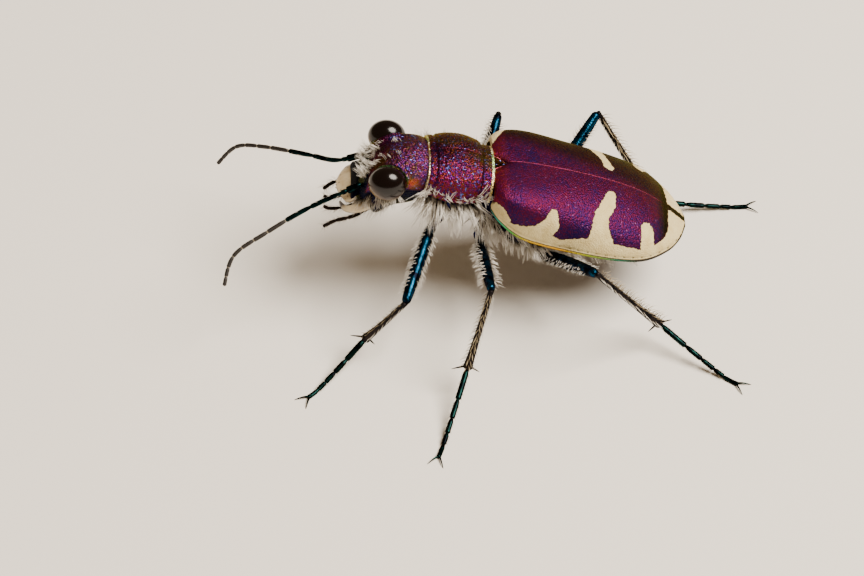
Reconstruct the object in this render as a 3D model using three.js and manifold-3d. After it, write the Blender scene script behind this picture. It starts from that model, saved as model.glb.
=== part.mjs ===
// A tiger beetle at life size, standing alert with its head raised.
// Millimetres, +Z up. The head points to -Y, the left side to +X, and the six feet stand on z = 0.

import * as THREE from 'three';
import { LoftGeometry } from 'three/addons/geometries/LoftGeometry.js';
import { mergeVertices } from 'three/addons/utils/BufferGeometryUtils.js';
import Module from 'manifold-3d';

const wasm = await Module();
wasm.setup();

// Stance. The hind body's own frame has its zero below the front end of the wing-case seam.
const BODY_HEIGHT = 6.2;
const BODY_PITCH = 15.5; // degrees, head end raised
const BODY_ROLL = -2.5; // degrees, left side raised
const PROTHORAX_HINGE = [0, -0.2, 0.8];
const PROTHORAX_DIP = 1; // degrees, nose down from the hind body
const HEAD_HINGE = [0, -3.1, 0.8];
const HEAD_DIP = 1;
const HEAD_TURN = -2.5; // degrees, towards its right
const FOOTPRINT_CENTRE = [1.07, 0.7]; // x and y of the middle of the space the beetle takes up

// Walls and clearances
const SHELL = 0.5; // thickness of the wing cases and of the neck shield
const PARTING = 0.08; // clear gap between neighbouring pieces
const SEAM = 0.03; // half the gap between the two wing cases
const ROUND = 0.87; // power of a cross-section's sines: 1 is an ellipse, less is fuller
const LEAST_HALF = 0.12; // smallest half width and height of a cross-section
const LEAST_HEIGHT = 0.02;
const WELD = 1e-4; // corners closer than this are one

// Facets: steps between neighbouring rows of a table, and across or round each kind of piece
const ROW_STEPS = 2;
const WING_CASE_ARC = 8; // from seam to rim
const SHIELD_ARC = 10; // from side to side
const TRUNK_ARC = { thorax: 8, abdomen: 9, head: 12 };
const RING = { hip: 9, limb: 7, mouth: 8, feeler: 6, foot: 6, claw: 5 };
const EYE_FACETS = [16, 10];
const LIP_STEPS = 4;

// Wing cases: y behind the base, half width, height of crest and side rim, and roundness (see ROUND)
const WING_CASES = [
  { y: 0.1, half: 2.14, top: 1.98, side: 0.84, round: 0.54 },
  { y: 0.6, half: 2.6, top: 2.18, side: 0.52, round: 0.48 },
  { y: 1.85, half: 2.97, top: 2.28, side: 0.04, round: 0.53 },
  { y: 4.1, half: 3.15, top: 2.2, side: -0.12, round: 0.73 },
  { y: 6.3, half: 3.23, top: 1.95, side: -0.12, round: 0.85 },
  { y: 7.95, half: 2.96, top: 1.52, side: -0.1, round: 0.88 },
  { y: 9.2, half: 2.15, top: 0.9, side: 0.0, round: 0.9 },
  { y: 9.9, half: 1.25, top: 0.48, side: 0.1, round: 0.9 },
  { y: 10.25, half: 0.35, top: 0.24, side: 0.16, round: 0.9 },
];
const BASE_NOTCH = 0.5; // how far the seam starts behind the shoulders
const NOTCH_POWERS = { across: 2, along: 6 }; // how fast the notch fades from the seam and from the base

// Underside of the hind body: half width at the rim's level and height of the keel
const MESOTHORAX = [
  { y: 0.0, half: 1.2, top: 1.15, side: 0.3, keel: -1.05 },
  { y: 0.3, half: 1.45, top: 1.2, side: 0.25, keel: -1.35 },
  { y: 0.72, half: 1.75, top: 1.3, side: 0.2, keel: -1.45 },
];
const METATHORAX = [
  { y: 0.8, half: 1.85, side: 0.1, keel: -1.45 },
  { y: 1.7, half: 2.25, side: -0.05, keel: -1.75 },
  { y: 2.6, half: 2.4, side: -0.1, keel: -1.75 },
  { y: 3.35, half: 2.4, side: -0.1, keel: -1.55 },
];
const ABDOMEN = [
  { y: 3.45, half: 2.45, side: -0.1, keel: -1.45 },
  { y: 5.4, half: 2.62, side: -0.12, keel: -1.4 },
  { y: 7.3, half: 2.45, side: -0.12, keel: -1.15 },
  { y: 8.7, half: 1.85, side: -0.08, keel: -0.7 },
  { y: 9.5, half: 1.1, side: 0.02, keel: -0.3 },
  { y: 9.75, half: 0.55, side: 0.08, keel: -0.08 },
];
const SCUTELLUM = { half: 0.42, front: -0.03, back: 0.45, top: 1.85 };

// Neck shield and the rest of the prothorax
const NECK_SHIELD = [
  { y: -3.05, half: 1.55, top: 2.1, side: 0.78, round: 0.8 },
  { y: -2.7, half: 1.65, top: 2.24, side: 0.76, round: 0.8 },
  { y: -2.1, half: 1.86, top: 2.46, side: 0.72, round: 0.75 },
  { y: -1.4, half: 1.9, top: 2.5, side: 0.72, round: 0.72 },
  { y: -0.75, half: 1.78, top: 2.38, side: 0.74, round: 0.75 },
  { y: -0.35, half: 1.62, top: 2.18, side: 0.78, round: 0.8 },
  { y: -0.08, half: 1.62, top: 2.14, side: 0.8, round: 0.8 },
];
const PROTHORAX = [
  { y: -3.0, half: 1.0, side: 0.78, keel: -0.3 },
  { y: -2.3, half: 1.3, side: 0.72, keel: -0.95 },
  { y: -1.2, half: 1.34, side: 0.72, keel: -1.15 },
  { y: -0.25, half: 1.05, side: 0.78, keel: -0.8 },
];

// Head: half width, crest, level of the widest part, keel, and the ridge along each eye
const HEAD = [
  { y: -3.13, half: 1.42, top: 2.0, side: 1.0, keel: -0.2, brow: 0 },
  { y: -3.6, half: 1.5, top: 2.12, side: 1.0, keel: -0.5, brow: 0.03 },
  { y: -4.2, half: 1.45, top: 2.06, side: 0.95, keel: -0.75, brow: 0.1 },
  { y: -4.9, half: 1.35, top: 1.84, side: 0.8, keel: -0.9, brow: 0.16 },
  { y: -5.5, half: 1.28, top: 1.4, side: 0.5, keel: -0.95, brow: 0.1 },
  { y: -5.9, half: 1.14, top: 0.85, side: 0.0, keel: -1.05, brow: 0 },
  { y: -6.06, half: 0.98, top: 0.42, side: -0.25, keel: -0.98, brow: 0 },
];
const BROW_AT = 1.05; // distance of each ridge from the middle
const BROW_WIDTH = 0.3;
const EYE_CENTRE = [1.63, -4.93, 1.03];
const EYE_RADII = [0.74, 0.92, 0.86];
const CLYPEUS = [
  { y: -6.13, half: 0.98, top: 0.05, side: -0.45, keel: -0.95 },
  { y: -6.33, half: 1.15, top: -0.38, side: -0.68, keel: -1.0 },
];
const LABRUM = {
  width: 2.6, length: 0.92, tooth: 0.08, thickness: 0.3, tilt: 34, bow: 0.08, hinge: [0, -6.35, -0.6],
};
// Outline of one half of the labrum: shares of its half width and length
const LIP = {
  corner: [0.96, 0], bulge: [1, 0.3], side: [0.9, 0.52], shoulder: [0.7, 0.92], middle: [0.12, 0.97],
};

// Jaws and feelers of the mouth, left side: points of the middle line and radii along it
const MANDIBLE = {
  path: [
    [1.2, -5.5, -0.95], [1.36, -5.95, -1.05], [1.27, -6.4, -1.3], [1.0, -6.85, -1.68], [0.36, -7.15, -1.85],
  ],
  radii: [0.25, 0.27, 0.26, 0.25, 0.2],
};
const MAXILLARY_PALP = {
  path: [[0.8, -5.1, -1.3], [1.25, -6.0, -1.85], [1.2, -7.0, -2.25], [0.95, -7.6, -2.7]],
  radii: [0.25, 0.26, 0.25, 0.2],
};
const LABIAL_PALP = {
  path: [[0.32, -5.3, -1.35], [0.42, -6.2, -2.05], [0.36, -7.0, -2.4], [0.34, -7.5, -2.15]],
  radii: [0.25, 0.26, 0.25, 0.2],
};

// Feelers: the eleven joints' lengths and each feeler's course from its root, +Y towards the tail
const FEELER_ROOT = [1.02, -6.0, 0.12];
const FEELER_JOINTS = [0.75, 0.28, 1.65, 1.38, 1.05, 0.78, 0.68, 0.6, 0.58, 0.45, 0.48];
const METALLIC_JOINTS = 4;
const FEELER_COURSE = {
  left: [[0, 0, 0], [0.49, -2.56, -0.6], [1.34, -4.58, -1.49], [2.15, -6.17, -2.32], [3.21, -6.7, -3.3]],
  right: [[0, 0, 0], [-1.1, -2.55, -0.95], [-2.3, -4.56, -1.6], [-2.95, -5.91, -2.2], [-3.0, -6.85, -3.4]],
};
const FEELER_RADIUS = 0.25;
const FEELER_SWELLING = 0.04;

// Legs: lengths of thigh, shin and foot, and the hip's root and tip in the frame that carries it
const LEGS = {
  front: { thigh: 4.35, shin: 3.45, foot: 4.0, hip: [[0.62, -1.7, -0.75], [1.25, -2.15, -1.58]] },
  middle: { thigh: 4.7, shin: 4.45, foot: 4.8, hip: [[0.72, 0.25, -1.0], [1.35, 0.4, -2.05]] },
  hind: { thigh: 5.65, shin: 6.0, foot: 4.75, hip: [[0.75, 2.6, -1.3], [1.55, 3.5, -2.05]] },
};
// Degrees: heading from straight outwards towards the tail, and lift above the level
const STANCE = {
  front_left: { thigh: [-20.3, -14.9], shin: [-100.3, -55.8], foot: -48.4 },
  front_right: { thigh: [-22.4, -7.0], shin: [-82.4, -75.5], foot: 10.0 },
  middle_left: { thigh: [3.5, 17.7], shin: [-42.0, -67.0], foot: -20.8 },
  middle_right: { thigh: [18.6, 23.1], shin: [-30.5, -71.1], foot: -53.0 },
  hind_left: { thigh: [28.1, 32.9], shin: [106.5, -54.7], foot: 52.3 },
  hind_right: { thigh: [40.6, 28.3], shin: [115.0, -58.3], foot: 89.0 },
};
const HIP_RADII = [0.5, 0.36];
const THIGH_RADII = [0.26, 0.37, 0.36, 0.31, 0.27, 0.27];
const SHIN_RADII = [0.25, 0.25, 0.25, 0.28];
const FOOT_JOINTS = [0.34, 0.2, 0.16, 0.12, 0.18]; // shares of the foot's length
const FOOT_RADIUS = 0.25;
const FOOT_SWELLING = 0.03;
const LAST_JOINT_LIFT = 0.04;
const TOE_HEIGHT = 0.22; // the foot's middle line, a little under its radius, so it stands on a flat
const CLAW = { length: 0.75, spread: 34, radii: [0.16, 0.1], root: 0.97, sunk: 0.02 };

// Rounded ends of limbs, as shares of the end's radius and of a span; joints, as shares of a joint's length
const END = { radius: 0.62, length: 0.4, most: 0.2 };
const JOINT = { firstWaist: 0.06, waist: 0.04, swell: 0.9 };
const LIMB_ASIDE = [0.13, 0.21, 1]; // a direction that no limb or feeler runs in

// Colour, roughness and metalness of each kind of surface
const FINISHES = {
  purple: [0x6a1450, 0.45, 0.6],
  collar: [0x7a1c55, 0.4, 0.6],
  blueBlack: [0x10142a, 0.4, 0.5],
  steelBlue: [0x10384e, 0.35, 0.7],
  bronze: [0x1d1c1a, 0.45, 0.5],
  teal: [0x0e2f2d, 0.35, 0.6],
  greyBrown: [0x2c2724, 0.75, 0.1],
  ivory: [0xcdb893, 0.5, 0],
  eye: [0x20140f, 0.12, 0],
};
const materials = Object.fromEntries(
  Object.entries(FINISHES).map(([name, [color, roughness, metalness]]) => [
    name,
    new THREE.MeshStandardMaterial({ color, roughness, metalness }),
  ]),
);

const SIDES = { left: 1, right: -1 };
const radians = THREE.MathUtils.degToRad;
const point = (xyz, side = 1) => new THREE.Vector3(xyz[0] * side, xyz[1], xyz[2]);

// A lofted solid with both ends closed. Sections that turn the wrong way round are reversed.
function closedLoft(sections) {
  const caps = { capStart: true, capEnd: true };
  const geometry = new LoftGeometry(sections, caps);
  return signedVolume(geometry) > 0
    ? geometry
    : new LoftGeometry(sections.map((section) => [...section].reverse()), caps);
}

function signedVolume(geometry) {
  const { position } = geometry.attributes;
  const [a, b, c] = [new THREE.Vector3(), new THREE.Vector3(), new THREE.Vector3()];
  let sum = 0;
  for (let i = 0; i < geometry.index.count; i += 3) {
    a.fromBufferAttribute(position, geometry.index.getX(i));
    b.fromBufferAttribute(position, geometry.index.getX(i + 1));
    c.fromBufferAttribute(position, geometry.index.getX(i + 2));
    sum += a.dot(b.cross(c));
  }
  return sum / 6;
}

function toSolid(geometry) {
  const bare = new THREE.BufferGeometry().setAttribute('position', geometry.attributes.position);
  const merged = mergeVertices(bare.setIndex(geometry.index), WELD);
  const vertProperties = merged.attributes.position.array;
  const triVerts = new Uint32Array(merged.index.array);
  return new wasm.Manifold(new wasm.Mesh({ numProp: 3, vertProperties, triVerts }));
}

// The largest body of a solid as a geometry: a cut may leave a crumb in a corner.
function toGeometry(solid) {
  const largest = solid.decompose().reduce((a, b) => (a.volume() > b.volume() ? a : b));
  const { vertProperties, triVerts } = largest.getMesh();
  return new THREE.BufferGeometry()
    .setAttribute('position', new THREE.BufferAttribute(vertProperties, 3))
    .setIndex(new THREE.BufferAttribute(triVerts, 1));
}

const cut = (geometry, ...tools) =>
  toGeometry(tools.reduce((solid, tool) => solid.subtract(toSolid(tool)), toSolid(geometry)));

const join = (...geometries) =>
  toGeometry(geometries.map(toSolid).reduce((sum, solid) => sum.add(solid)));

// Rows of measures with a smooth run between them: each gap is divided into a number of steps.
function smoothRows(rows, steps) {
  const row = (i) => rows[THREE.MathUtils.clamp(i, 0, rows.length - 1)];
  return Array.from({ length: (rows.length - 1) * steps + 1 }, (_, k) => {
    const gap = Math.min(Math.floor(k / steps), rows.length - 2);
    const t = k / steps - gap;
    const measures = Object.keys(rows[0]).map((key) => {
      const [a, b, c, d] = [-1, 0, 1, 2].map((offset) => row(gap + offset)[key]);
      const [before, after] = [(c - a) / 2, (d - b) / 2];
      const square = 3 * (c - b) - 2 * before - after;
      const cube = 2 * (b - c) + before + after;
      return [key, b + before * t + square * t ** 2 + cube * t ** 3];
    });
    return Object.fromEntries(measures);
  });
}

// The row of a smoothed table at a given y, by straight interpolation.
function rowAt(rows, y) {
  const i = THREE.MathUtils.clamp(rows.findIndex((row) => row.y >= y), 1, rows.length - 1);
  const t = (y - rows[i - 1].y) / (rows[i].y - rows[i - 1].y);
  const measures = Object.keys(rows[0]).map((key) => {
    return [key, THREE.MathUtils.lerp(rows[i - 1][key], rows[i][key], t)];
  });
  return Object.fromEntries(measures);
}

const fuller = (value, round = ROUND) => Math.sign(value) * Math.abs(value) ** round;

// x and z of a cross-section; turn runs from -1 at the right rim over the crest to 1 at the left rim.
function domePoint(row, turn, inset = 0) {
  const angle = (turn * Math.PI) / 2;
  const half = Math.max(row.half - inset, LEAST_HALF);
  const height = Math.max(row.top - row.side - inset, LEAST_HEIGHT);
  const x = half * fuller(Math.sin(angle), row.round);
  return new THREE.Vector3(x, row.y, row.side + height * fuller(Math.cos(angle), row.round));
}

const arc = (facets, from, to, make) =>
  Array.from({ length: facets + 1 }, (_, i) => make(THREE.MathUtils.lerp(from, to, i / facets)));

// The whole ring of a body segment: a dome over the side level and a belly down to the keel.
function ringOf(row, facets) {
  const belly = { ...row, top: 2 * row.side - row.keel };
  const upper = arc(facets, -1, 1, (turn) => domePoint(row, turn));
  const lower = arc(facets, 1, -1, (turn) => {
    const p = domePoint(belly, turn);
    p.z = 2 * row.side - p.z;
    return p;
  });
  return [...upper, ...lower.slice(1, -1)];
}

// A ring of points round a path, carried along it without twisting.
function tube(curve, stations, sides) {
  let tangent = curve.getTangentAt(0);
  const across = new THREE.Vector3(...LIMB_ASIDE).cross(tangent).normalize();
  const sections = stations.map(({ at, radius }) => {
    const next = curve.getTangentAt(at);
    across.applyQuaternion(new THREE.Quaternion().setFromUnitVectors(tangent, next));
    tangent = next;
    const up = new THREE.Vector3().crossVectors(tangent, across);
    const centre = curve.getPointAt(at);
    return Array.from({ length: sides }, (_, i) => {
      const angle = (i / sides) * 2 * Math.PI;
      return centre
        .clone()
        .addScaledVector(across, radius * Math.cos(angle))
        .addScaledVector(up, radius * Math.sin(angle));
    });
  });
  return closedLoft(sections);
}

// Radii spread evenly along a path, with a rounded edge at both ends.
function roundedStations(radii, length) {
  const last = radii.length - 1;
  const middle = radii.map((radius, i) => ({ at: i / last, radius }));
  const edge = (i) => Math.min((END.length * radii[i]) / length, END.most / last);
  const first = [{ at: 0, radius: END.radius * radii[0] }, { at: edge(0), radius: radii[0] }];
  const end = [{ at: 1 - edge(last), radius: radii[last] }, { at: 1, radius: END.radius * radii[last] }];
  return [...first, ...middle.slice(1, -1), ...end];
}

function limb(points, radii, sides, growth = 0) {
  const curve = points.length > 2 ? new THREE.CatmullRomCurve3(points) : new THREE.LineCurve3(...points);
  const grown = radii.map((radius) => radius + growth);
  return tube(curve, roundedStations(grown, curve.getLength()), sides);
}

// A chain of joints along a path: each one swells towards its far end.
function jointStations(ends, from, to, radius, swelling) {
  const total = ends[ends.length - 1];
  const stations = [];
  for (let i = from; i < to; i += 1) {
    const start = i === 0 ? 0 : ends[i - 1];
    const span = ends[i] - start;
    const waist = start + (i === from ? JOINT.firstWaist : JOINT.waist) * span;
    const swell = start + JOINT.swell * span;
    stations.push({ at: waist / total, radius }, { at: swell / total, radius: radius + swelling });
  }
  return stations;
}

function add(group, name, geometry, material) {
  const mesh = new THREE.Mesh(geometry, material);
  mesh.name = name;
  group.add(mesh);
  return mesh;
}

// A group that tips about a hinge of its parent, with the parent's own coordinates inside.
function hinged(parent, hinge, dip, turn = 0) {
  const outer = new THREE.Group();
  outer.position.copy(point(hinge));
  outer.rotation.set(radians(dip), 0, radians(turn));
  const inner = new THREE.Group();
  inner.position.copy(point(hinge)).negate();
  outer.add(inner);
  parent.add(outer);
  return inner;
}

const beetle = new THREE.Group();
const hindBody = new THREE.Group();
hindBody.position.z = BODY_HEIGHT;
hindBody.rotation.set(-radians(BODY_PITCH), radians(BODY_ROLL), 0, 'ZYX');
beetle.add(hindBody);
const prothorax = hinged(hindBody, PROTHORAX_HINGE, PROTHORAX_DIP);
const head = hinged(prothorax, HEAD_HINGE, HEAD_DIP, HEAD_TURN);
beetle.updateMatrixWorld(true);

// Wing cases: two half domes that meet at the seam, hollow over the abdomen
const wingCaseRows = smoothRows(WING_CASES, ROW_STEPS);

function wingCaseSection(row, share) {
  const inner = { ...row, half: row.half - SEAM };
  const across = (turn, inset) => {
    const p = domePoint(inner, turn, inset);
    const towardsSeam = Math.max(1 - p.x / row.half, 0);
    p.y += BASE_NOTCH * towardsSeam ** NOTCH_POWERS.across * (1 - share) ** NOTCH_POWERS.along;
    p.x += SEAM;
    return p;
  };
  const outside = arc(WING_CASE_ARC, 0, 1, (turn) => across(turn, 0));
  const inside = arc(WING_CASE_ARC, 1, 0, (turn) => across(turn, SHELL));
  return [...outside, ...inside];
}

function wingCase(side) {
  const sections = wingCaseRows.map((row, i) => wingCaseSection(row, i / (wingCaseRows.length - 1)));
  return closedLoft(sections.map((section) => section.map((p) => new THREE.Vector3(p.x * side, p.y, p.z))));
}

for (const [name, side] of Object.entries(SIDES)) {
  add(hindBody, `wing_case_${name}`, wingCase(side), materials.purple);
}

// Hips: stubby cones from the underside to the thigh, with sockets cut for them in the body
const hipPoints = (pair, side) => LEGS[pair].hip.map((xyz) => point(xyz, side));
const hip = (pair, side, growth = 0) => limb(hipPoints(pair, side), HIP_RADII, RING.hip, growth);
const sockets = (pair) => Object.values(SIDES).map((side) => hip(pair, side, PARTING));

// Segments under the wing cases fill the hollow, less the parting gap
function underWingCases(row) {
  const cover = rowAt(wingCaseRows, row.y);
  const clear = SHELL + PARTING;
  const half = Math.min(row.half, cover.half - clear);
  return { ...row, half, top: cover.top - clear, round: cover.round };
}

function segment(rows, facets, fit = (row) => row, steps = ROW_STEPS) {
  return closedLoft(smoothRows(rows, steps).map((row) => ringOf(fit(row), facets)));
}

const mesothorax = cut(segment(MESOTHORAX, TRUNK_ARC.thorax), ...sockets('middle'));
add(hindBody, 'mesothorax', mesothorax, materials.blueBlack);
const metathoraxSolid = segment(METATHORAX, TRUNK_ARC.abdomen, underWingCases);
const metathorax = cut(metathoraxSolid, ...sockets('middle'), ...sockets('hind'));
add(hindBody, 'metathorax', metathorax, materials.blueBlack);
const abdomen = cut(segment(ABDOMEN, TRUNK_ARC.abdomen, underWingCases), ...sockets('hind'));
add(hindBody, 'abdomen', abdomen, materials.blueBlack);

// Scutellum: the small triangle between the bases of the wing cases
const triangle = new THREE.Shape([
  new THREE.Vector2(-SCUTELLUM.half, SCUTELLUM.front),
  new THREE.Vector2(SCUTELLUM.half, SCUTELLUM.front),
  new THREE.Vector2(0, SCUTELLUM.back),
]);
const scutellum = new THREE.ExtrudeGeometry(triangle, { depth: SHELL, bevelEnabled: false });
scutellum.translate(0, 0, SCUTELLUM.top - SHELL);
add(hindBody, 'scutellum', scutellum, materials.purple);

// Neck shield over the core of the prothorax
const neckRows = smoothRows(NECK_SHIELD, ROW_STEPS);
const neckSections = neckRows.map((row) => [
  ...arc(SHIELD_ARC, -1, 1, (turn) => domePoint(row, turn)),
  ...arc(SHIELD_ARC, 1, -1, (turn) => domePoint(row, turn, SHELL)),
]);
add(prothorax, 'neck_shield', closedLoft(neckSections), materials.purple);

function underNeckShield(row) {
  const cover = rowAt(neckRows, row.y);
  const clear = SHELL + PARTING;
  const half = Math.min(row.half, cover.half - clear);
  return { ...row, half, top: cover.top - clear, round: cover.round };
}
const prothoraxCore = cut(segment(PROTHORAX, TRUNK_ARC.thorax, underNeckShield), ...sockets('front'));
add(prothorax, 'prothorax', prothoraxCore, materials.blueBlack);

// Head capsule with a ridge along each eye, hollowed for the eyes, feelers and jaws
function headRing(row) {
  return ringOf(row, TRUNK_ARC.head).map((p) => {
    const ridge = Math.exp(-(((Math.abs(p.x) - BROW_AT) / BROW_WIDTH) ** 2));
    p.z += p.z > row.side ? row.brow * ridge : 0;
    return p;
  });
}

function eye(side, growth = 0) {
  const [x, y, z] = EYE_RADII.map((radius) => radius + growth);
  const ball = new THREE.SphereGeometry(1, ...EYE_FACETS);
  ball.rotateZ(Math.PI / 2);
  ball.rotateY(Math.PI / 2);
  ball.scale(x, y, z);
  ball.translate(...point(EYE_CENTRE, side).toArray());
  return ball;
}

const mouthPart = ({ path, radii }, side, growth = 0) =>
  limb(path.map((xyz) => point(xyz, side)), radii, RING.mouth, growth);

// Feelers grow from pits in front of the eyes; their course is given level with the ground
const feelerEnds = FEELER_JOINTS.map((_, i) => FEELER_JOINTS.slice(0, i + 1).reduce((a, b) => a + b));

function feelerCurve(name) {
  const root = head.localToWorld(point(FEELER_ROOT, SIDES[name]));
  return new THREE.CatmullRomCurve3(FEELER_COURSE[name].map((xyz) => point(xyz).add(root)));
}

function feeler(name, from, to, growth = 0) {
  const stations = jointStations(feelerEnds, from, to, FEELER_RADIUS + growth, FEELER_SWELLING);
  return tube(feelerCurve(name), stations, RING.feeler);
}

// Labrum: a short ivory lip with one small tooth, bowed across and tilted down from the clypeus
function labrum(growth = 0) {
  const { tooth, thickness, tilt, bow, hinge } = LABRUM;
  const half = LABRUM.width / 2 + growth;
  const length = LABRUM.length + growth;
  const place = ([across, along], side) => [side * across * half, -along * length];
  const outline = new THREE.Shape();
  outline.moveTo(...place(LIP.corner, -1));
  outline.quadraticCurveTo(...place(LIP.bulge, -1), ...place(LIP.side, -1));
  outline.quadraticCurveTo(...place(LIP.shoulder, -1), ...place(LIP.middle, -1));
  outline.lineTo(0, -length - tooth);
  outline.lineTo(...place(LIP.middle, 1));
  outline.quadraticCurveTo(...place(LIP.shoulder, 1), ...place(LIP.side, 1));
  outline.quadraticCurveTo(...place(LIP.bulge, 1), ...place(LIP.corner, 1));
  const depth = thickness + 2 * growth;
  const lip = new THREE.ExtrudeGeometry(outline, { depth, bevelEnabled: false, curveSegments: LIP_STEPS });
  lip.translate(0, growth, growth - depth);
  const { position } = lip.attributes;
  for (let i = 0; i < position.count; i += 1) {
    position.setZ(i, position.getZ(i) - bow * position.getX(i) ** 2);
  }
  lip.rotateX(radians(tilt));
  lip.translate(...hinge);
  return lip;
}
const intoHead = (geometry) => geometry.applyMatrix4(head.matrixWorld.clone().invert());
const headTools = Object.entries(SIDES).flatMap(([name, side]) => [
  eye(side, PARTING),
  mouthPart(MANDIBLE, side, PARTING),
  mouthPart(MAXILLARY_PALP, side, PARTING),
  mouthPart(LABIAL_PALP, side, PARTING),
  intoHead(feeler(name, 0, 1, PARTING)),
]);
const capsule = closedLoft(smoothRows(HEAD, ROW_STEPS).map(headRing));
add(head, 'head_capsule', cut(capsule, labrum(PARTING), ...headTools), materials.purple);
const clypeus = segment(CLYPEUS, TRUNK_ARC.thorax, undefined, 1);
add(head, 'clypeus', cut(clypeus, labrum(PARTING), ...headTools), materials.blueBlack);
const jaws = Object.values(SIDES).map((side) => mouthPart(MANDIBLE, side, PARTING));
add(head, 'labrum', cut(labrum(), ...jaws), materials.ivory);

for (const [name, side] of Object.entries(SIDES)) {
  add(head, `eye_${name}`, eye(side), materials.eye);
  add(head, `mandible_${name}`, mouthPart(MANDIBLE, side), materials.ivory);
  add(head, `maxillary_palp_${name}`, mouthPart(MAXILLARY_PALP, side), materials.bronze);
  add(head, `labial_palp_${name}`, mouthPart(LABIAL_PALP, side), materials.bronze);
  add(beetle, `feeler_scape_${name}`, feeler(name, 0, 1), materials.teal);
  add(beetle, `feeler_base_${name}`, feeler(name, 1, METALLIC_JOINTS), materials.teal);
  const whip = feeler(name, METALLIC_JOINTS, FEELER_JOINTS.length);
  add(beetle, `feeler_whip_${name}`, whip, materials.greyBrown);
}

// Legs: thigh, shin and foot run on from the hip, each cut back where it meets the one before
function direction(side, heading, lift) {
  const level = Math.cos(radians(lift));
  return new THREE.Vector3(
    side * level * Math.cos(radians(heading)),
    level * Math.sin(radians(heading)),
    Math.sin(radians(lift)),
  );
}

// The foot runs straight down to the ground and lies flat on its last joint.
function footCurve(ankle, side, heading, length) {
  const lift = -THREE.MathUtils.radToDeg(Math.asin((ankle.z - TOE_HEIGHT) / length));
  const toe = ankle.clone().addScaledVector(direction(side, heading, lift), length);
  const lastJoint = toe.clone().lerp(ankle, FOOT_JOINTS[FOOT_JOINTS.length - 1]);
  lastJoint.z = TOE_HEIGHT + LAST_JOINT_LIFT;
  return new THREE.CatmullRomCurve3([ankle, ankle.clone().lerp(lastJoint, 0.5), lastJoint, toe]);
}

// What would reach under the ground is pressed flat on it.
function standOnGround(geometry) {
  const { position } = geometry.attributes;
  for (let i = 0; i < position.count; i += 1) {
    position.setZ(i, Math.max(position.getZ(i), 0));
  }
  return geometry;
}

function foot(curve, side, heading) {
  const ends = FOOT_JOINTS.map((_, i) => FOOT_JOINTS.slice(0, i + 1).reduce((a, b) => a + b));
  const stations = jointStations(ends, 0, FOOT_JOINTS.length, FOOT_RADIUS, FOOT_SWELLING);
  const chain = tube(curve, stations, RING.foot);
  const root = curve.getPointAt(CLAW.root);
  const claws = [-CLAW.spread, CLAW.spread].map((turn) => {
    const tip = root.clone().addScaledVector(direction(side, heading + turn, 0), CLAW.length);
    tip.z = CLAW.radii[1] - CLAW.sunk;
    return standOnGround(limb([root.clone(), tip], CLAW.radii, RING.claw));
  });
  return join(standOnGround(chain), ...claws);
}

for (const [legName, angles] of Object.entries(STANCE)) {
  const [pair, sideName] = legName.split('_');
  const side = SIDES[sideName];
  const lengths = LEGS[pair];
  const carrier = pair === 'front' ? prothorax : hindBody;
  add(carrier, `hip_${legName}`, hip(pair, side), materials.blueBlack);

  const start = carrier.localToWorld(hipPoints(pair, side)[1]);
  const knee = start.clone().addScaledVector(direction(side, ...angles.thigh), lengths.thigh);
  const ankle = knee.clone().addScaledVector(direction(side, ...angles.shin), lengths.shin);
  const grownHip = hip(pair, side, PARTING).applyMatrix4(carrier.matrixWorld);
  const thigh = limb([start, knee], THIGH_RADII, RING.limb);
  const grownThigh = limb([start, knee], THIGH_RADII, RING.limb, PARTING);
  const shin = limb([knee, ankle], SHIN_RADII, RING.limb);
  const grownShin = limb([knee, ankle], SHIN_RADII, RING.limb, PARTING);
  const footPath = footCurve(ankle, side, angles.foot, lengths.foot);
  add(beetle, `thigh_${legName}`, cut(thigh, grownHip), materials.steelBlue);
  add(beetle, `shin_${legName}`, cut(shin, grownThigh), materials.bronze);
  add(beetle, `foot_${legName}`, cut(foot(footPath, side, angles.foot), grownShin), materials.teal);
}

beetle.position.set(-FOOTPRINT_CENTRE[0], -FOOTPRINT_CENTRE[1], 0);

export default beetle;
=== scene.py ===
import math
from functools import partial

import bpy
import numpy as np
from mathutils import Matrix, Vector


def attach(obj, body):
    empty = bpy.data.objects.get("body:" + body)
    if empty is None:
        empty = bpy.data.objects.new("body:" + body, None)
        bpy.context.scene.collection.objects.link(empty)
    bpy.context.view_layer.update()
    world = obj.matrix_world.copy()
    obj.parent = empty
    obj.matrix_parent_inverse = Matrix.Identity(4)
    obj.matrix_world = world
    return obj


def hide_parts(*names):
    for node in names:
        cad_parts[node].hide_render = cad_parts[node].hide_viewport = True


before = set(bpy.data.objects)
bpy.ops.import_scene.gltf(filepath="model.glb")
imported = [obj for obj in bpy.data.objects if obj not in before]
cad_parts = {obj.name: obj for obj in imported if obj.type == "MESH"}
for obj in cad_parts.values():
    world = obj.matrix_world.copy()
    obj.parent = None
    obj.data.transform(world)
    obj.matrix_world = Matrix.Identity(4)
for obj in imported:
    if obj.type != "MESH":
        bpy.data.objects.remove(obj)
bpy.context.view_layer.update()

# Camera, floor and lamp
# A long lens looks down on the beetle's left side from a little ahead of the shoulder. The beetle stands
# on a pale matt board under one round softbox high behind its left side. The rest of the room is dim, so
# that the metallic surfaces which turn away from the softbox go dark.
MM = 0.001
VIEW_AIM, VIEW_DISTANCE = Vector((-0.808, -3.014, -0.381)) * MM, 240 * MM
VIEW_TURNS = ((86.0, "Z"), (90 - 48.0, "X"), (0.8, "Z"))  # degrees: azimuth, elevation, roll
LENS_MM, SENSOR_MM = 204.17, 36.0
HALF_BOARD, ROOM_STRENGTH = 0.8, 0.36
KEY_DIRECTION, KEY_DISTANCE, KEY_SIZE, KEY_POWER = Vector((0.14, 0.5, 0.855)), 0.40, 0.26, 4.8


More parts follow.
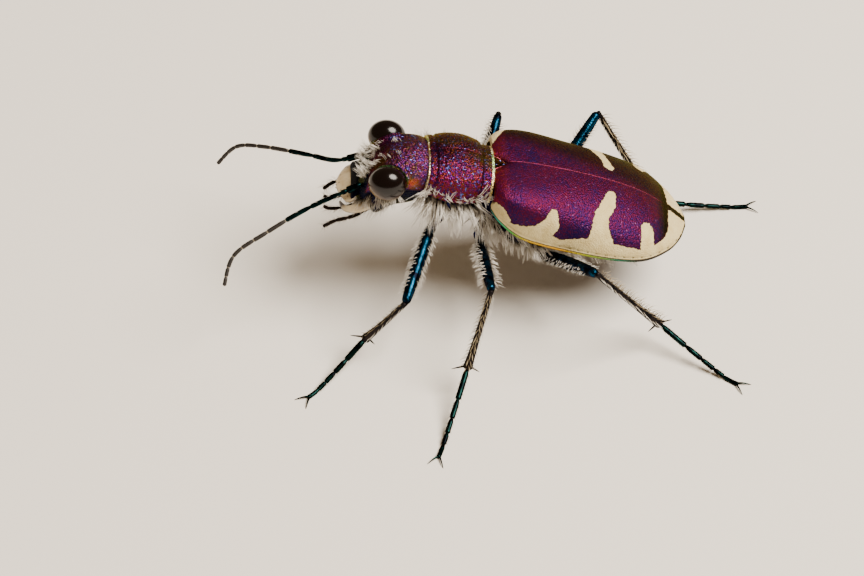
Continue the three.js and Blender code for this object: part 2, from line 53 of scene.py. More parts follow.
def srgb(hex_code):
    """Linear colour of an sRGB hex code: the standard curve, (c + 0.055) / 1.055 to the power 2.4."""
    values = [int(hex_code[i : i + 2], 16) / 255 for i in (1, 3, 5)]
    return tuple(v / 12.92 if v <= 0.04045 else ((v + 0.055) / 1.055) ** 2.4 for v in values) + (1.0,)


def set_inputs(node, inputs):
    """Sets a node's inputs by name or number, or links them where the value is another node's output."""
    for name, value in inputs.items():
        if isinstance(value, bpy.types.NodeSocket):
            node.id_data.links.new(value, node.inputs[name])
        else:
            node.inputs[name].default_value = value


def add_node(tree, kind, inputs=(), output=0, stops=(), **settings):
    """Adds a node with its settings, inputs and, for a ramp, colours at their places. Gives one output."""
    node = tree.nodes.new("ShaderNode" + kind)
    for name, value in settings.items():
        setattr(node, name, value)
    for place, _ in stops[2:]:
        node.color_ramp.elements.new(place)
    for number, (place, colour) in enumerate(sorted(stops)):
        node.color_ramp.elements[number].position = place
        node.color_ramp.elements[number].color = srgb(colour)
    set_inputs(node, dict(inputs))
    return node.outputs[output]


def new_material(name, **inputs):
    """A material, its shader with some inputs set (underscores for spaces), and a function to add nodes."""
    material = bpy.data.materials.new(name)
    material.use_nodes = True
    shader = material.node_tree.nodes["Principled BSDF"]
    set_inputs(shader, {key.replace("_", " "): value for key, value in inputs.items()})
    return material, shader, partial(add_node, material.node_tree)


def new_object(name, data):
    """An object in the scene from its mesh, lamp or camera."""
    piece = bpy.data.objects.new(name, data)
    bpy.context.collection.objects.link(piece)
    return piece


camera = bpy.context.scene.camera = new_object("camera", bpy.data.cameras.new("camera"))
camera.data.lens, camera.data.sensor_width = LENS_MM, SENSOR_MM
camera.data.clip_start, camera.data.clip_end = 0.01, 10.0
azimuth, tip, roll = (Matrix.Rotation(math.radians(angle), 4, axis) for angle, axis in VIEW_TURNS)
camera.matrix_world = Matrix.Translation(VIEW_AIM) @ azimuth @ tip @ roll @ Matrix.Translation((0, 0, VIEW_DISTANCE))

floor_mesh = bpy.data.meshes.new("floor")
corners = [(x * HALF_BOARD, y * HALF_BOARD, 0) for x, y in ((-1, -1), (1, -1), (1, 1), (-1, 1))]
floor_mesh.from_pydata(corners, [], [(0, 1, 2, 3)])
floor_mesh.materials.append(new_material("matt_board", Base_Color=srgb("#E9E5DD"), Roughness=0.9)[0])
new_object("floor", floor_mesh)

lamp = bpy.data.lights.new("key_softbox", "AREA")
lamp.shape, lamp.size, lamp.energy, lamp.color = "DISK", KEY_SIZE, KEY_POWER, srgb("#FFF4E6")[:3]
softbox = new_object("key_softbox", lamp)
softbox.location = KEY_DIRECTION.normalized() * KEY_DISTANCE
softbox.rotation_euler = KEY_DIRECTION.to_track_quat("Z", "Y").to_euler()
world = bpy.context.scene.world = bpy.data.worlds.new("studio")
world.use_nodes = True
set_inputs(world.node_tree.nodes["Background"], {"Color": srgb("#CDAE88"), "Strength": ROOM_STRENGTH})

# Wing cases
# Two hard domed shells of chitin that meet at the seam and cover the folded wings. Their surface is
# finely granulate with a metallic purple lustre, and cream bands join along the rim. Points are worked
# out in the hind body's own frame, in millimetres: y behind the base, z up from the level of the hinge.
SIDES = {"left": 1, "right": -1}
FOOTPRINT_CENTRE = np.array((1.07, 0.70, 0.0))
BODY_HEIGHT, BODY_PITCH, BODY_ROLL = 6.2, 15.5, -2.5
WING_CASE_ROWS = np.array([  # y, half width, crest, level of the rim, roundness of the section
    (0.06, 2.14, 1.96, 0.84, 0.42),
    (0.6, 2.60, 2.18, 0.52, 0.38),
    (1.85, 2.97, 2.28, 0.04, 0.44),
    (4.1, 3.15, 2.20, -0.12, 0.67),
    (6.3, 3.23, 1.95, -0.12, 0.85),
    (7.95, 2.96, 1.52, -0.10, 0.88),
    (9.2, 2.15, 0.90, 0.00, 0.90),
    (9.9, 1.25, 0.48, 0.10, 0.90),
    (10.25, 0.35, 0.24, 0.16, 0.90),
])
WING_CASE_WALL, HALF_SEAM, BASE_NOTCH, NOTCH_HALF = 0.16, 0.012, 0.72, 0.60
RIM_BEAD, RIM_GUTTER, BEAD_WIDTH, GUTTER_HEIGHT, DARK_SEAM = 0.045, 0.03, 0.09, 0.198, 0.18
PIT_FROM_RIM, PIT_SPACING, PIT_RADIUS, PITS_START = 0.23, 0.46, 0.045, 3.5
# The red line across the base is a painted highlight, joined to the pink one along the seam.
BASE_HIGHLIGHT_AT, BASE_HIGHLIGHT_SCALE = 0.06 / 11, 5.5  # share of the length where a red line crosses the base
# The front gleam is an orange-red painted sheen on the front slope of the wing cases.
FRONT_GLEAM, FRONT_GLEAM_SPAN, SHADED_TIP = 0.6, (0.8, 0.2), (8.4, 8.9)
# Dark bronze painted shade and reflection: on the rear slope over the tip span, and on the right wing case away from
# the seam, by the values on this line.
RIGHT_SHADE, RIGHT_SHADE_SPAN, RIGHT_SHADE_SLOPE = 0.65, (1.4, 2.2), 0.22
BANDS = {  # y, distance from the rim and half width of each cream band's middle line
    "base": [(0.42, 0.0, 0.46), (0.56, 0.42, 0.46)],
    "rim": [(0.80, 0.0, 0.37), (1.4, 0.15, 0.48), (1.9, 0.35, 0.53), (2.4, 0.50, 0.62), (3.4, 0.15, 0.45),
            (4.1, 0.35, 0.45), (4.7, 0.50, 0.50), (5.5, 0.45, 0.50), (6.6, 0.40, 0.45), (7.3, 0.35, 0.42),
            (7.8, 0.25, 0.36), (8.6, 0.32, 0.48), (9.0, 0.40, 0.50)],
    "shoulder": [(2.45, 0.50, 0.60), (2.88, 1.30, 0.43), (2.93, 1.90, 0.22)],
    "middle": [(5.5, 0.80, 0.70), (5.36, 1.60, 0.43), (5.36, 2.20, 0.36), (5.70, 2.85, 0.37), (5.88, 3.45, 0.24)],
    "rear": [(8.0, 0.45, 0.35), (7.88, 1.35, 0.33), (7.74, 1.78, 0.26)],
    "tip": [(9.0, 0.35, 0.45), (9.85, 1.0, 0.78), (9.9, 2.3, 0.75)],
}
RIGHT_BANDS = BANDS | {  # on the right the base reaches further up, and the middle one has a thinner neck
    "base": [(0.42, 0.0, 0.46), (0.40, 0.9, 0.44), (0.40, 1.5, 0.36)],
    "middle": [(5.6, 0.80, 0.70), (5.5, 1.60, 0.40), (5.52, 2.30, 0.30), (5.80, 2.95, 0.21), (5.93, 3.42, 0.26)],
}


def turn(axis, degrees):
    """Matrix that turns points about an axis."""
    return np.array(Matrix.Rotation(math.radians(degrees), 3, axis))


def on_body(points):
    """Tilts points from the hind body's frame into the stance, over the middle of the footprint."""
    tilt = turn("Y", BODY_ROLL) @ turn("X", -BODY_PITCH)
    return points @ tilt.T + (0, 0, BODY_HEIGHT) - FOOTPRINT_CENTRE


def rows_at(rows, share):
    """Rows of a table at a share of its length: a cubic between two rows, whose slope at each of them is half
    the step from the row before it to the row after it."""
    place = np.clip(np.asarray(share) * (len(rows) - 1), 0, len(rows) - 1)
    gap = np.clip(np.floor(place).astype(int), 0, len(rows) - 2)
    before, start, end, after = (rows[np.clip(gap + step, 0, len(rows) - 1)] for step in (-1, 0, 1, 2))
    t = (place - gap)[..., None]
    leaving, arriving = (end - before) / 2, (after - start) / 2
    cubic = 2 * (start - end) + leaving + arriving
    return start + leaving * t + (3 * (end - start) - 2 * leaving - arriving) * t**2 + cubic * t**3


def arch(half, height, roundness, angle):
    """Across and up from an arch's middle at an angle from upright: |x/half|^n + |z/height|^n = 1, n = 2/roundness."""
    sine, cosine = np.sin(angle), np.cos(angle)
    power = 2 / roundness
    reach = (np.abs(sine / half) ** power + np.abs(cosine / height) ** power) ** (-1 / power)
    return reach * sine, reach * cosine


def hump(distance, width):
    """1 in the middle, fading on both sides as e to the minus (distance / width) squared."""
    return np.exp(-((distance / width) ** 2))


def rise(value, start, end):
    """0 up to the start and 1 from the end on, straight in between. The end may lie below the start."""
    return np.clip((value - start) / (end - start), 0, 1)


def grid(rows, columns, start=0.0, end=None):
    """A surface's shares of length down a column, and its places across in a row, or else a full circle."""
    across = np.linspace(0, 2 * math.pi, columns, endpoint=False) if end is None else np.linspace(start, end, columns)
    return np.linspace(0, 1, rows)[:, None], across[None, :]


def wing_case_point(share, angle, side, inset=0.0):
    """Point of a wing case at a share of its length and an angle from the seam to the rim: half an arch, with a
    bead and a gutter above its rim. The base is notched by a power of the distance inside the notch's half."""
    y, half, crest, rim, roundness = np.moveaxis(rows_at(WING_CASE_ROWS, share), -1, 0)
    x, z = arch(np.maximum(half - HALF_SEAM - inset, 0.05), np.maximum(crest - rim - inset, 0.02), roundness, angle)
    x = x + (inset == 0) * (RIM_BEAD * hump(z, BEAD_WIDTH) - RIM_GUTTER * hump(z - GUTTER_HEIGHT, BEAD_WIDTH))
    notch = BASE_NOTCH * np.maximum(1 - x / NOTCH_HALF, 0) ** 1.15 * (1 - share) ** 6
    return np.stack([side * (x + HALF_SEAM), y + notch, rim + z], -1)


def mesh_piece(name, surface, material, slot, *nodes, **layers):
    """A piece that stands for CAD nodes, from a surface's points in millimetres, none below the floor, and its
    arrays of faces, turned outwards. A layer of numbers becomes an attribute, which is 0 for points beyond
    its end, and a layer of pairs a UV map."""
    points, faces = surface
    points[:, 2] = np.maximum(points[:, 2], 0)
    volume = sum(
        np.einsum("ij,ij->", points[f[:, 0]], np.cross(points[f[:, k]], points[f[:, k + 1]]))
        for f in faces
        for k in range(1, f.shape[1] - 1)
    )
    if volume < 0:
        faces = [f[:, ::-1] for f in faces]
    corners = np.concatenate([f.ravel() for f in faces])
    sizes = np.concatenate([np.full(len(f), f.shape[1]) for f in faces])
    mesh = bpy.data.meshes.new(name)
    mesh.vertices.add(len(points))
    mesh.vertices.foreach_set("co", (points * MM).astype(np.float32).ravel())
    mesh.loops.add(len(corners))
    mesh.loops.foreach_set("vertex_index", corners.astype(np.int32))
    mesh.polygons.add(len(sizes))
    mesh.polygons.foreach_set("loop_start", (np.cumsum(sizes) - sizes).astype(np.int32))
    mesh.polygons.foreach_set("use_smooth", np.full(len(sizes), True))
    for layer, values in layers.items():
        if values.shape[-1] == 2:
            mesh.uv_layers.new(name=layer).data.foreach_set("uv", values[corners].astype(np.float32).ravel())
        else:
            values = np.pad(values.ravel(), (0, len(points) - values.size)).astype(np.float32)
            mesh.attributes.new(layer, "FLOAT", "POINT").data.foreach_set("value", values)
    mesh.update(calc_edges=True)
    mesh.validate()
    mesh.materials.append(material)
    piece = new_object(name, mesh)
    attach(piece, "root")
    if nodes:
        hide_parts(*nodes)


def ring_walls(rows, ring):
    """Numbers of the points of closed rings, and the quads between neighbouring rings."""
    index = np.arange(rows * ring).reshape(rows, ring)
    following = np.roll(index, -1, axis=1)
    return index, np.stack([index[:-1], following[:-1], following[1:], index[1:]], -1).reshape(-1, 4)


def shell(outside, inside):
    """A bent plate: rings that run along its outside and back along its inside, closed at both ends."""
    rows, half_ring = outside.shape[:2]
    outer, inner = np.arange(half_ring), np.arange(2 * half_ring)[::-1][:half_ring]
    edge = np.stack([outer[:-1], inner[:-1], inner[1:], outer[1:]], -1)
    faces = [ring_walls(rows, 2 * half_ring)[1], edge, edge[:, ::-1] + (rows - 1) * 2 * half_ring]
    return np.concatenate([outside, inside[:, ::-1]], axis=1).reshape(-1, 3), faces


def on_outside(values, inside=0.0):
    """A shell's layer: values for the outside, and one value all over the inside."""
    return np.concatenate([values, np.full_like(values, inside)], axis=1).ravel()


def rounded_end(outside, inside, to_end):
    """Brings a shell's outside round to its inside in a quarter circle over the last 2% of its length."""
    return outside + (inside - outside) * (1 - np.sqrt(1 - rise(to_end, 0.02, 0) ** 2))[..., None]


def band_distance(along, across, bands):
    """Distance inside the nearest cream band: half width less distance from the middle line, in millimetres."""
    best = np.full(along.shape, -9.0)
    for line in bands.values():
        for (y0, a0, r0), (y1, a1, r1) in zip(line, line[1:]):
            dy, da = y1 - y0, a1 - a0
            t = np.clip(((along - y0) * dy + (across - a0) * da) / (dy * dy + da * da), 0, 1)
            gap = np.hypot(along - y0 - t * dy, across - a0 - t * da)
            best = np.maximum(best, r0 + t * (r1 - r0) - gap)
    return best


GRANULE, HUE_DRIFT, JAG, CREAM_CLOUD, GRANULE_RELIEF = 0.075, 1.1, 0.15, 0.5, 0.024  # mm


def granules(add, spread=1.0):
    """Granules, drawn coarser than the real ones, which are too fine to show. Gives their place, the distance
    from a granule's middle, its three random numbers, a slow drift of hue, and its own hue, near that."""
    place = add("TexCoord", output="Object")
    grain = add("TexVoronoi", {"Vector": place, "Scale": 1 / (GRANULE * MM)})
    own = add("SeparateColor", {0: grain.node.outputs["Color"]}).node.outputs
    drift = add("TexNoise", {"Vector": place, "Scale": 1 / (HUE_DRIFT * MM), "Detail": 3.0})
    wander = add("Math", {0: drift, 1: 0.46, 2: 0.1}, operation="MULTIPLY_ADD")
    return place, grain, own, drift, add("Math", {0: own[0], 1: 0.34 * spread, 2: wander}, operation="MULTIPLY_ADD")


PURPLE_STOPS = [
    (0.0, "#160C3E"), (1.0, "#74361A"), (0.25, "#250E46"), (0.40, "#380D3C"), (0.54, "#480D34"),
    (0.68, "#520F2D"), (0.84, "#5A1428"),
]
GRAZING_TINT = (0.58, 0.60, 0.08, 1.0)  # linear: what grazing light is multiplied by, towards bronze
# A painted highlight along the bead of the rim: green, gold and green, going dark towards the rear.
RIM_HIGHLIGHT_STOPS = [
    (0.0, "#0E2A26"), (1.0, "#140D18"), (0.10, "#0F7A6E"), (0.20, "#3A8A3A"), (0.27, "#B08A18"), (0.36, "#B8861C"),
    (0.43, "#7A8A1C"), (0.52, "#125A48"), (0.60, "#16121E"),
]
FRONT_STOPS = [(0.3, "#6A0E38"), (0.8, "#8A5A12"), (0.55, "#8A2414")]
CREAM_STOPS = [(0.3, "#BCA876"), (0.7, "#D2C292")]
BRONZE_STOPS = [(0.2, "#0E0606"), (0.9, "#362207"), (0.45, "#190A06"), (0.65, "#271206")]

# Granulate chitin: thin layers over dark pigment give the metallic purple, and the cream bands are unpigmented and
# duller, with a slightly jagged edge where the granules overlap it. Painted light lies over the purple: glints on a
# few granules, highlights along the seam, the base and the rim, an orange-red sheen on the front slope, and dark
# bronze shade at the rear and on the right wing case.
wing_case_cuticle, shader, add = new_material("granulate_chitin", Roughness=0.49, Specular_Tint=GRAZING_TINT)
place, grain, own, _, hue = granules(add)
band, seam, rim, bronzed, front, pit, along = (
    add("Attribute", output="Fac", attribute_name=name)
    for name in ("band_distance", "seam_distance", "rim_distance", "bronzed", "front_gleam", "pits", "along")
)
jag = add("TexNoise", {"Vector": place, "Scale": 1 / (JAG * MM), "Detail": 3.0})
jagged = add("Math", {0: jag, 1: 0.2, 2: band}, operation="MULTIPLY_ADD")
# The glint mask picks a few granules for a painted highlight, a pale mauve glint.
flank, painted_glint, seam_highlight, band_edge, on_band, edge_line, on_rim_highlight = (
    add("MapRange", {0: value, 1: low, 2: high}, interpolation_type="SMOOTHSTEP")
    for value, low, high in (
        (rim, 2.8, 0.9), (own[1], 0.975, 0.995), (seam, 0.026, 0.012), (jagged, 0.02, 0.08),
        (jagged, 0.08, 0.115), (rim, 0.155, 0.115), (rim, 0.105, 0.07),
    )
)
hue = add("Math", {0: flank, 1: -0.13, 2: hue}, operation="MULTIPLY_ADD")
cloud = add("TexNoise", {"Vector": place, "Scale": 1 / (CREAM_CLOUD * MM), "Detail": 4.0})
tone, bronze, orange, rim_highlight_tone, cream = (
    add("ValToRGB", {0: value}, stops=stops)
    for value, stops in (
        (hue, PURPLE_STOPS), (hue, BRONZE_STOPS), (hue, FRONT_STOPS), (along, RIM_HIGHLIGHT_STOPS), (cloud, CREAM_STOPS)
    )
)
cream = add("Mix", {0: pit, 6: cream, 7: srgb("#2E2014")}, 2, data_type="RGBA")
for mask, colour in (
    (painted_glint, srgb("#5C3058")), (seam_highlight, srgb("#86344C")), (bronzed, bronze), (front, orange),
    # The last mask lays the painted highlight along the rim bead.
    (band_edge, srgb("#33102B")), (on_band, cream), (edge_line, srgb("#241324")), (on_rim_highlight, rim_highlight_tone),
):
    tone = add("Mix", {0: mask, 6: tone, 7: colour}, 2, data_type="RGBA")
relief = add("Math", {0: grain, 1: pit}, operation="ADD")
set_inputs(shader, {
    "Base Color": tone,
    "Metallic": add("Math", {0: on_band, 1: -0.9, 2: 0.9}, operation="MULTIPLY_ADD"),
    "Roughness": add("Math", {0: on_band, 1: 0.07, 2: 0.49}, operation="MULTIPLY_ADD"),
    "Normal": add("Bump", {"Height": relief, "Strength": 1.0, "Distance": GRANULE_RELIEF * MM}, invert=True),
})

share, angle = grid(260, 128, 0, math.pi / 2)
for side_name, side in SIDES.items():
    inside = wing_case_point(share, angle, side, WING_CASE_WALL)
    outside = rounded_end(wing_case_point(share, angle, side), inside, share)
    y = outside[..., 1]
    from_seam = np.linalg.norm(np.diff(outside, axis=1, prepend=outside[:, :1]), axis=2).cumsum(axis=1)
    from_rim = from_seam[:, -1:] - from_seam
    from_base = np.abs(share - BASE_HIGHLIGHT_AT) * BASE_HIGHLIGHT_SCALE
    banding = band_distance(y, from_rim, BANDS if side > 0 else RIGHT_BANDS)
    from_pit = np.hypot((y + 0.5 * PIT_SPACING) % PIT_SPACING - 0.5 * PIT_SPACING, from_rim - PIT_FROM_RIM)
    # Painted shade in dark bronze on the rear slope, and on the right wing case away from the seam.
    bronzed = rise(y, *SHADED_TIP)
    if side < 0:
        from_edge = from_seam + RIGHT_SHADE_SLOPE * y
        bronzed = np.maximum(bronzed, RIGHT_SHADE * rise(from_edge, *RIGHT_SHADE_SPAN))
    mesh_piece(
        f"wing_case_shell_{side_name}", shell(on_body(outside), on_body(inside)),
        wing_case_cuticle, "wing_case_cuticle", f"wing_case_{side_name}",
        band_distance=on_outside(np.minimum(banding, from_seam - DARK_SEAM), -1),
        # Distance from the seam or from the base line, where a pink painted highlight lies.
        seam_distance=on_outside(np.minimum(from_seam, from_base), 9),
        rim_distance=on_outside(from_rim, 9),
        bronzed=on_outside(bronzed),
        # An orange-red painted sheen on the front slope.
        front_gleam=on_outside(FRONT_GLEAM * rise(y, *FRONT_GLEAM_SPAN)),
        pits=on_outside(rise(from_pit / PIT_RADIUS, 1.5, 0.5) * (y > PITS_START)),
        along=np.repeat(share, 2 * angle.size),
    )

# Neck shield
# One saddle of hard chitin over the front of the thorax, narrower than the wing cases. A furrow sets off a lobe in
# front and behind, the margins are thin and gold-green, partly their own colour and partly a painted highlight,
# painted shade darkens the middle, and uneven wrinkles cross the middle.
NECK_ROWS = np.array([  # y, half width, crest, level of the side edge, roundness
    (-3.2, 1.64, 2.13, 0.78, 0.72),
    (-2.7, 1.78, 2.30, 0.76, 0.70),
    (-2.1, 1.89, 2.46, 0.72, 0.70),
    (-1.4, 1.90, 2.50, 0.72, 0.72),
    (-0.75, 1.78, 2.38, 0.74, 0.75),
    (-0.3, 1.62, 2.20, 0.78, 0.80),
    (0.08, 1.64, 2.14, 0.80, 0.80),
])
PROTHORAX_HINGE, PROTHORAX_DIP, SHIELD_WALL = np.array((0, -0.2, 0.8)), 1.0, 0.16
FURROWS, FURROW_DEPTH, FURROW_WIDTH = (-2.82, -0.46), 0.07, 0.08
WRINKLE_DEPTH, WRINKLE_LENGTHS, MIDDLE_LINE_DEPTH, MIDDLE_LINE_WIDTH = 0.018, (0.17, 0.125), 0.018, 0.05
FRONT_MARGIN, REAR_MARGIN, DISC_SHADE, DISC_SHADE_HALF = (-3.11, -3.14), (-0.07, -0.04), 0.6, 1.1


def on_prothorax(points):
    """Tips points about the hinge behind the prothorax, then tilts them with the body."""
    return on_body((points - PROTHORAX_HINGE) @ turn("X", PROTHORAX_DIP).T + PROTHORAX_HINGE)


def wrinkles(along, across):
    """Uneven cross wrinkles, 0 to 1: two trains of waves that wander, each fading in and out."""
    wander = 0.07 * np.sin(3.7 * across + 1.1) + 0.05 * np.sin(8.3 * across - 2.2 * along) + 0.03 * np.sin(17 * across)
    first = np.sin(2 * math.pi * (along + wander) / WRINKLE_LENGTHS[0])
    second = np.sin(2 * math.pi * (0.9 * along + 0.45 * across + wander) / WRINKLE_LENGTHS[1] + 1.7)
    first_fade = 0.6 + 0.4 * np.sin(4.9 * across + 6.1 * along)
    second_fade = 0.5 + 0.5 * np.sin(7.1 * across - 3.3 * along + 0.6)
    return 0.5 + 0.3 * first * first_fade + 0.2 * second * second_fade


def neck_shield_point(share, angle, inset=0.0):
    """Point of the neck shield at a share of its length and an angle from the middle line to an edge: an arch,
    lowered by the sum of the furrows, the wrinkles and a fine line along the middle."""
    y, half, crest, edge, roundness = np.moveaxis(rows_at(NECK_ROWS, share), -1, 0)
    across = half * np.sin(angle)
    furrow = sum(hump(y - at, FURROW_WIDTH) for at in FURROWS)
    disc = rise((y - FURROWS[0]) * (FURROWS[1] - y), 0, 0.2)
    relief = FURROW_DEPTH * furrow + (0.4 + 0.6 * disc) * WRINKLE_DEPTH * wrinkles(y, across)
    lowered = inset if inset else relief + MIDDLE_LINE_DEPTH * disc * hump(across, MIDDLE_LINE_WIDTH)
    x, z = arch(half - lowered, crest - edge - lowered, roundness, angle)
    return np.stack([x, y + 0 * x, edge + z], -1)


ROUGHNESS_GRAIN, RUGOSE_RELIEF = 0.11, 0.035  # mm


def rugose_cuticle(name, stops, **regions):
    """Purple chitin like the wing cases', coarser and wrinkled, with a painted highlight, a pale blue glint, on a few
    granules. A region is an attribute with its own stops.
    """
    material, shader, add = new_material(name, Metallic=0.9, Roughness=0.3, Specular_Tint=GRAZING_TINT)
    place, grain, own, drift, hue = granules(add, 1.5)
    # A few granules get a painted highlight, a pale blue glint.
    painted_glint = add("MapRange", {0: own[1], 1: 0.93, 2: 0.97}, interpolation_type="SMOOTHSTEP")
    tone = add("ValToRGB", {0: hue}, stops=stops)
    tone = add("Mix", {0: painted_glint, 6: tone, 7: srgb("#565EA4")}, 2, data_type="RGBA")
    for attribute, region_stops in regions.items():
        reach = add("Attribute", output="Fac", attribute_name=attribute)
        own_tone = add("ValToRGB", {0: drift}, stops=region_stops)
        tone = add("Mix", {0: reach, 6: tone, 7: own_tone}, 2, data_type="RGBA")
    crossed = add("Mapping", {"Vector": place, "Scale": (0.45, 1.0, 0.6)})
    rough = add("TexNoise", {"Vector": crossed, "Scale": 1 / (ROUGHNESS_GRAIN * MM), "Detail": 3.0})
    height = add("Math", {0: rough, 1: 1.6, 2: grain}, operation="MULTIPLY_ADD")
    set_inputs(shader, {
        "Base Color": tone,
        "Roughness": add("Math", {0: own[2], 1: 0.24, 2: 0.2}, operation="MULTIPLY_ADD"),
        "Normal": add("Bump", {"Height": height, "Strength": 1.0, "Distance": RUGOSE_RELIEF * MM}),
    })
    return material


GLITTER_STOPS = [
    (0.0, "#122450"), (1.0, "#34480E"), (0.30, "#20205C"), (0.42, "#3C1454"), (0.52, "#5A124A"),
    (0.63, "#641434"), (0.74, "#68201E"), (0.86, "#4C2E10"),
]
# The margins' own gold-green, brightened towards white by a painted highlight.
GOLD_GREEN = [(0.4, "#C8B070"), (0.62, "#9AB87A"), (0.5, "#F0E6C4")]
# Painted shade, dark olive and brown, over the middle of the neck shield.
DISC_SHADE_STOPS = [(0.4, "#1A0A18"), (0.62, "#22300C"), (0.5, "#2E1608")]
share, angle = grid(230, 210, -math.pi / 2, math.pi / 2)
inside = neck_shield_point(share, angle, SHIELD_WALL)
outside = rounded_end(neck_shield_point(share, angle), inside, np.minimum(share, 1 - share))
x, y, _ = np.moveaxis(outside, -1, 0)
mesh_piece(
    "neck_shield_plate", shell(on_prothorax(outside), on_prothorax(inside)),
    rugose_cuticle("rugose_chitin", GLITTER_STOPS, disc=DISC_SHADE_STOPS, margin=GOLD_GREEN),
    "purple_cuticle", "neck_shield",
    # Painted shade over the middle, fading out to the sides.
    disc=on_outside(DISC_SHADE * np.exp(-((x / DISC_SHADE_HALF) ** 4))),
    # The margins: their own gold-green and a painted highlight.
    margin=on_outside(np.maximum(rise(y, *FRONT_MARGIN), rise(y, *REAR_MARGIN))),
)

# Thorax and abdomen
# The underside is dark metallic chitin: the barrel under the neck shield, the two thorax segments that
# carry the other legs and the wing cases, and the abdomen with its overlapping belly plates.
PROTHORAX_ROWS = np.array([  # y, half width, top, level of the widest part, keel
    (-3.0, 1.00, 1.50, 0.78, -0.30),
    (-2.3, 1.36, 1.75, 0.72, -0.95),
    (-1.2, 1.40, 1.80, 0.72, -1.15),
    (-0.25, 1.08, 1.50, 0.78, -0.80),
])
MESOTHORAX_ROWS = np.array([
    (-0.1, 1.20, 1.45, 0.30, -1.05),
    (0.3, 1.50, 1.60, 0.25, -1.35),
    (0.72, 1.80, 1.60, 0.20, -1.45),
])
METATHORAX_ROWS = np.array([
    (0.74, 1.80, 1.30, 0.10, -1.45),
    (1.7, 2.28, 1.40, -0.05, -1.75),
    (2.6, 2.50, 1.40, -0.10, -1.75),
    (3.4, 2.52, 1.40, -0.10, -1.55),
])
ABDOMEN_ROWS = np.array([
    (3.42, 2.52, 1.40, -0.10, -1.47),
    (5.4, 2.72, 1.30, -0.12, -1.40),
    (7.3, 2.52, 1.00, -0.12, -1.15),
    (8.7, 1.90, 0.60, -0.08, -0.70),
    (9.5, 1.15, 0.35, 0.02, -0.30),
    (9.85, 0.50, 0.20, 0.08, -0.08),
])
BELLY_PLATES, PLATE_STEP, TRUNK_ROUNDNESS, TRUNK_RING = 6, 0.06, 0.87, 96
LEATHER_NET = 0.06  # mm, coarser than the real net, which is too fine to show
EDGE_TINT = (0.12, 0.14, 0.18, 1.0)  # linear: keeps the edges of dark chitin from shining white


def trunk_point(rows, share, angle, lowered=0.0, belly_roundness=TRUNK_ROUNDNESS):
    """Point of a closed segment at an angle from its top: an arch above the widest level and one below it."""
    y, half, top, level, keel = np.moveaxis(rows_at(rows, share), -1, 0)[:5]
    upper = np.cos(angle) >= 0
    height = np.where(upper, top - level, level - keel)
    roundness = np.where(upper, TRUNK_ROUNDNESS, belly_roundness)
    x, z = arch(half - lowered, height - lowered, roundness, angle)
    return np.stack([x, y + 0 * x, level + z], -1)


def lofted(points):
    """Quads between neighbouring closed rings, and a fan from the middle of the first and of the last."""
    rows, ring = points.shape[:2]
    index, walls = ring_walls(rows, ring)
    fans = [
        np.stack([np.roll(index[0], -1), index[0], np.full(ring, rows * ring)], -1),
        np.stack([index[-1], np.roll(index[-1], -1), np.full(ring, rows * ring + 1)], -1),
    ]
    poles = points[[0, -1]].mean(axis=1)
    return np.concatenate([points.reshape(-1, 3), poles]), [walls, np.concatenate(fans)]


def joined(*surfaces):
    """One surface from several, with the faces of the later ones counted on."""
    starts = np.cumsum([0, *(len(points) for points, _ in surfaces)])
    faces = [face + start for (_, part_faces), start in zip(surfaces, starts) for face in part_faces]
    return np.concatenate([points for points, _ in surfaces]), faces


def metallic_chitin(name, dark, light, roughness, metallic=0.85, patch=0.9, relief=0.012):
    """Smooth metallic chitin: two tones in soft patches, and a faint leathery net in the gloss."""
    material, shader, add = new_material(name, Metallic=metallic, Roughness=roughness, Specular_Tint=EDGE_TINT)
    place = add("TexCoord", output="Object")
    patches = add("TexNoise", {"Vector": place, "Scale": 1 / (patch * MM), "Detail": 3.0})
    net = add("TexVoronoi", {"Vector": place, "Scale": 1 / (LEATHER_NET * MM)})
    set_inputs(shader, {
        "Base Color": add("ValToRGB", {0: patches}, stops=[(0.38, dark), (0.66, light)]),
        "Normal": add("Bump", {"Height": net, "Strength": 0.5, "Distance": relief * MM}),
    })
    return material


blue_black_cuticle = metallic_chitin("blue_black_chitin", "#080A20", "#181C48", 0.26)
for name, rows, placed, steps in (
    ("prothorax", PROTHORAX_ROWS, on_prothorax, 80),
    ("mesothorax", MESOTHORAX_ROWS, on_body, 40),
    ("metathorax", METATHORAX_ROWS, on_body, 80),
    ("abdomen", ABDOMEN_ROWS, on_body, 220),
):
    share, angle = grid(steps, TRUNK_RING)
    lowered = 0.12 * rise(np.minimum(share, 1 - share), 5 / steps, 0) ** 2
    if name == "abdomen":
        lowered += PLATE_STEP * rise((share * BELLY_PLATES) % 1, 0.88, 1) * (share < 0.95)
    rings = placed(trunk_point(rows, share, angle, lowered))
    mesh_piece(f"{name}_plates", lofted(rings), blue_black_cuticle, "blue_black_cuticle", name)

# Scutellum
# A small pointed plate of the same chitin between the bases of the wing cases, with a painted pink highlight along its
# beaded edge.
SCUTELLUM_HALF, SCUTELLUM_LENGTH, SCUTELLUM_TOP, SCUTELLUM_DEPTH = 0.52, 0.76, 1.97, 0.3
SCUTELLUM_EDGE_HIGHLIGHT = [(0.4, "#B83070"), (0.6, "#B05060")]
# Half width falls to the tip as 1 - reach^1.15. The top bows down both ways, with a bead along each edge.
reach, across = grid(50, 61, -1, 1)
x = SCUTELLUM_HALF * across * (1 - reach**1.15)
edge_bead = 0.03 * hump(np.abs(across) - 0.93, 0.06)
top = SCUTELLUM_TOP - 0.1 * x**2 - 0.03 * reach**2 - 0.03 * (1 - across**2) + edge_bead
upper = np.stack([x, SCUTELLUM_LENGTH * reach + 0 * x, top], -1)
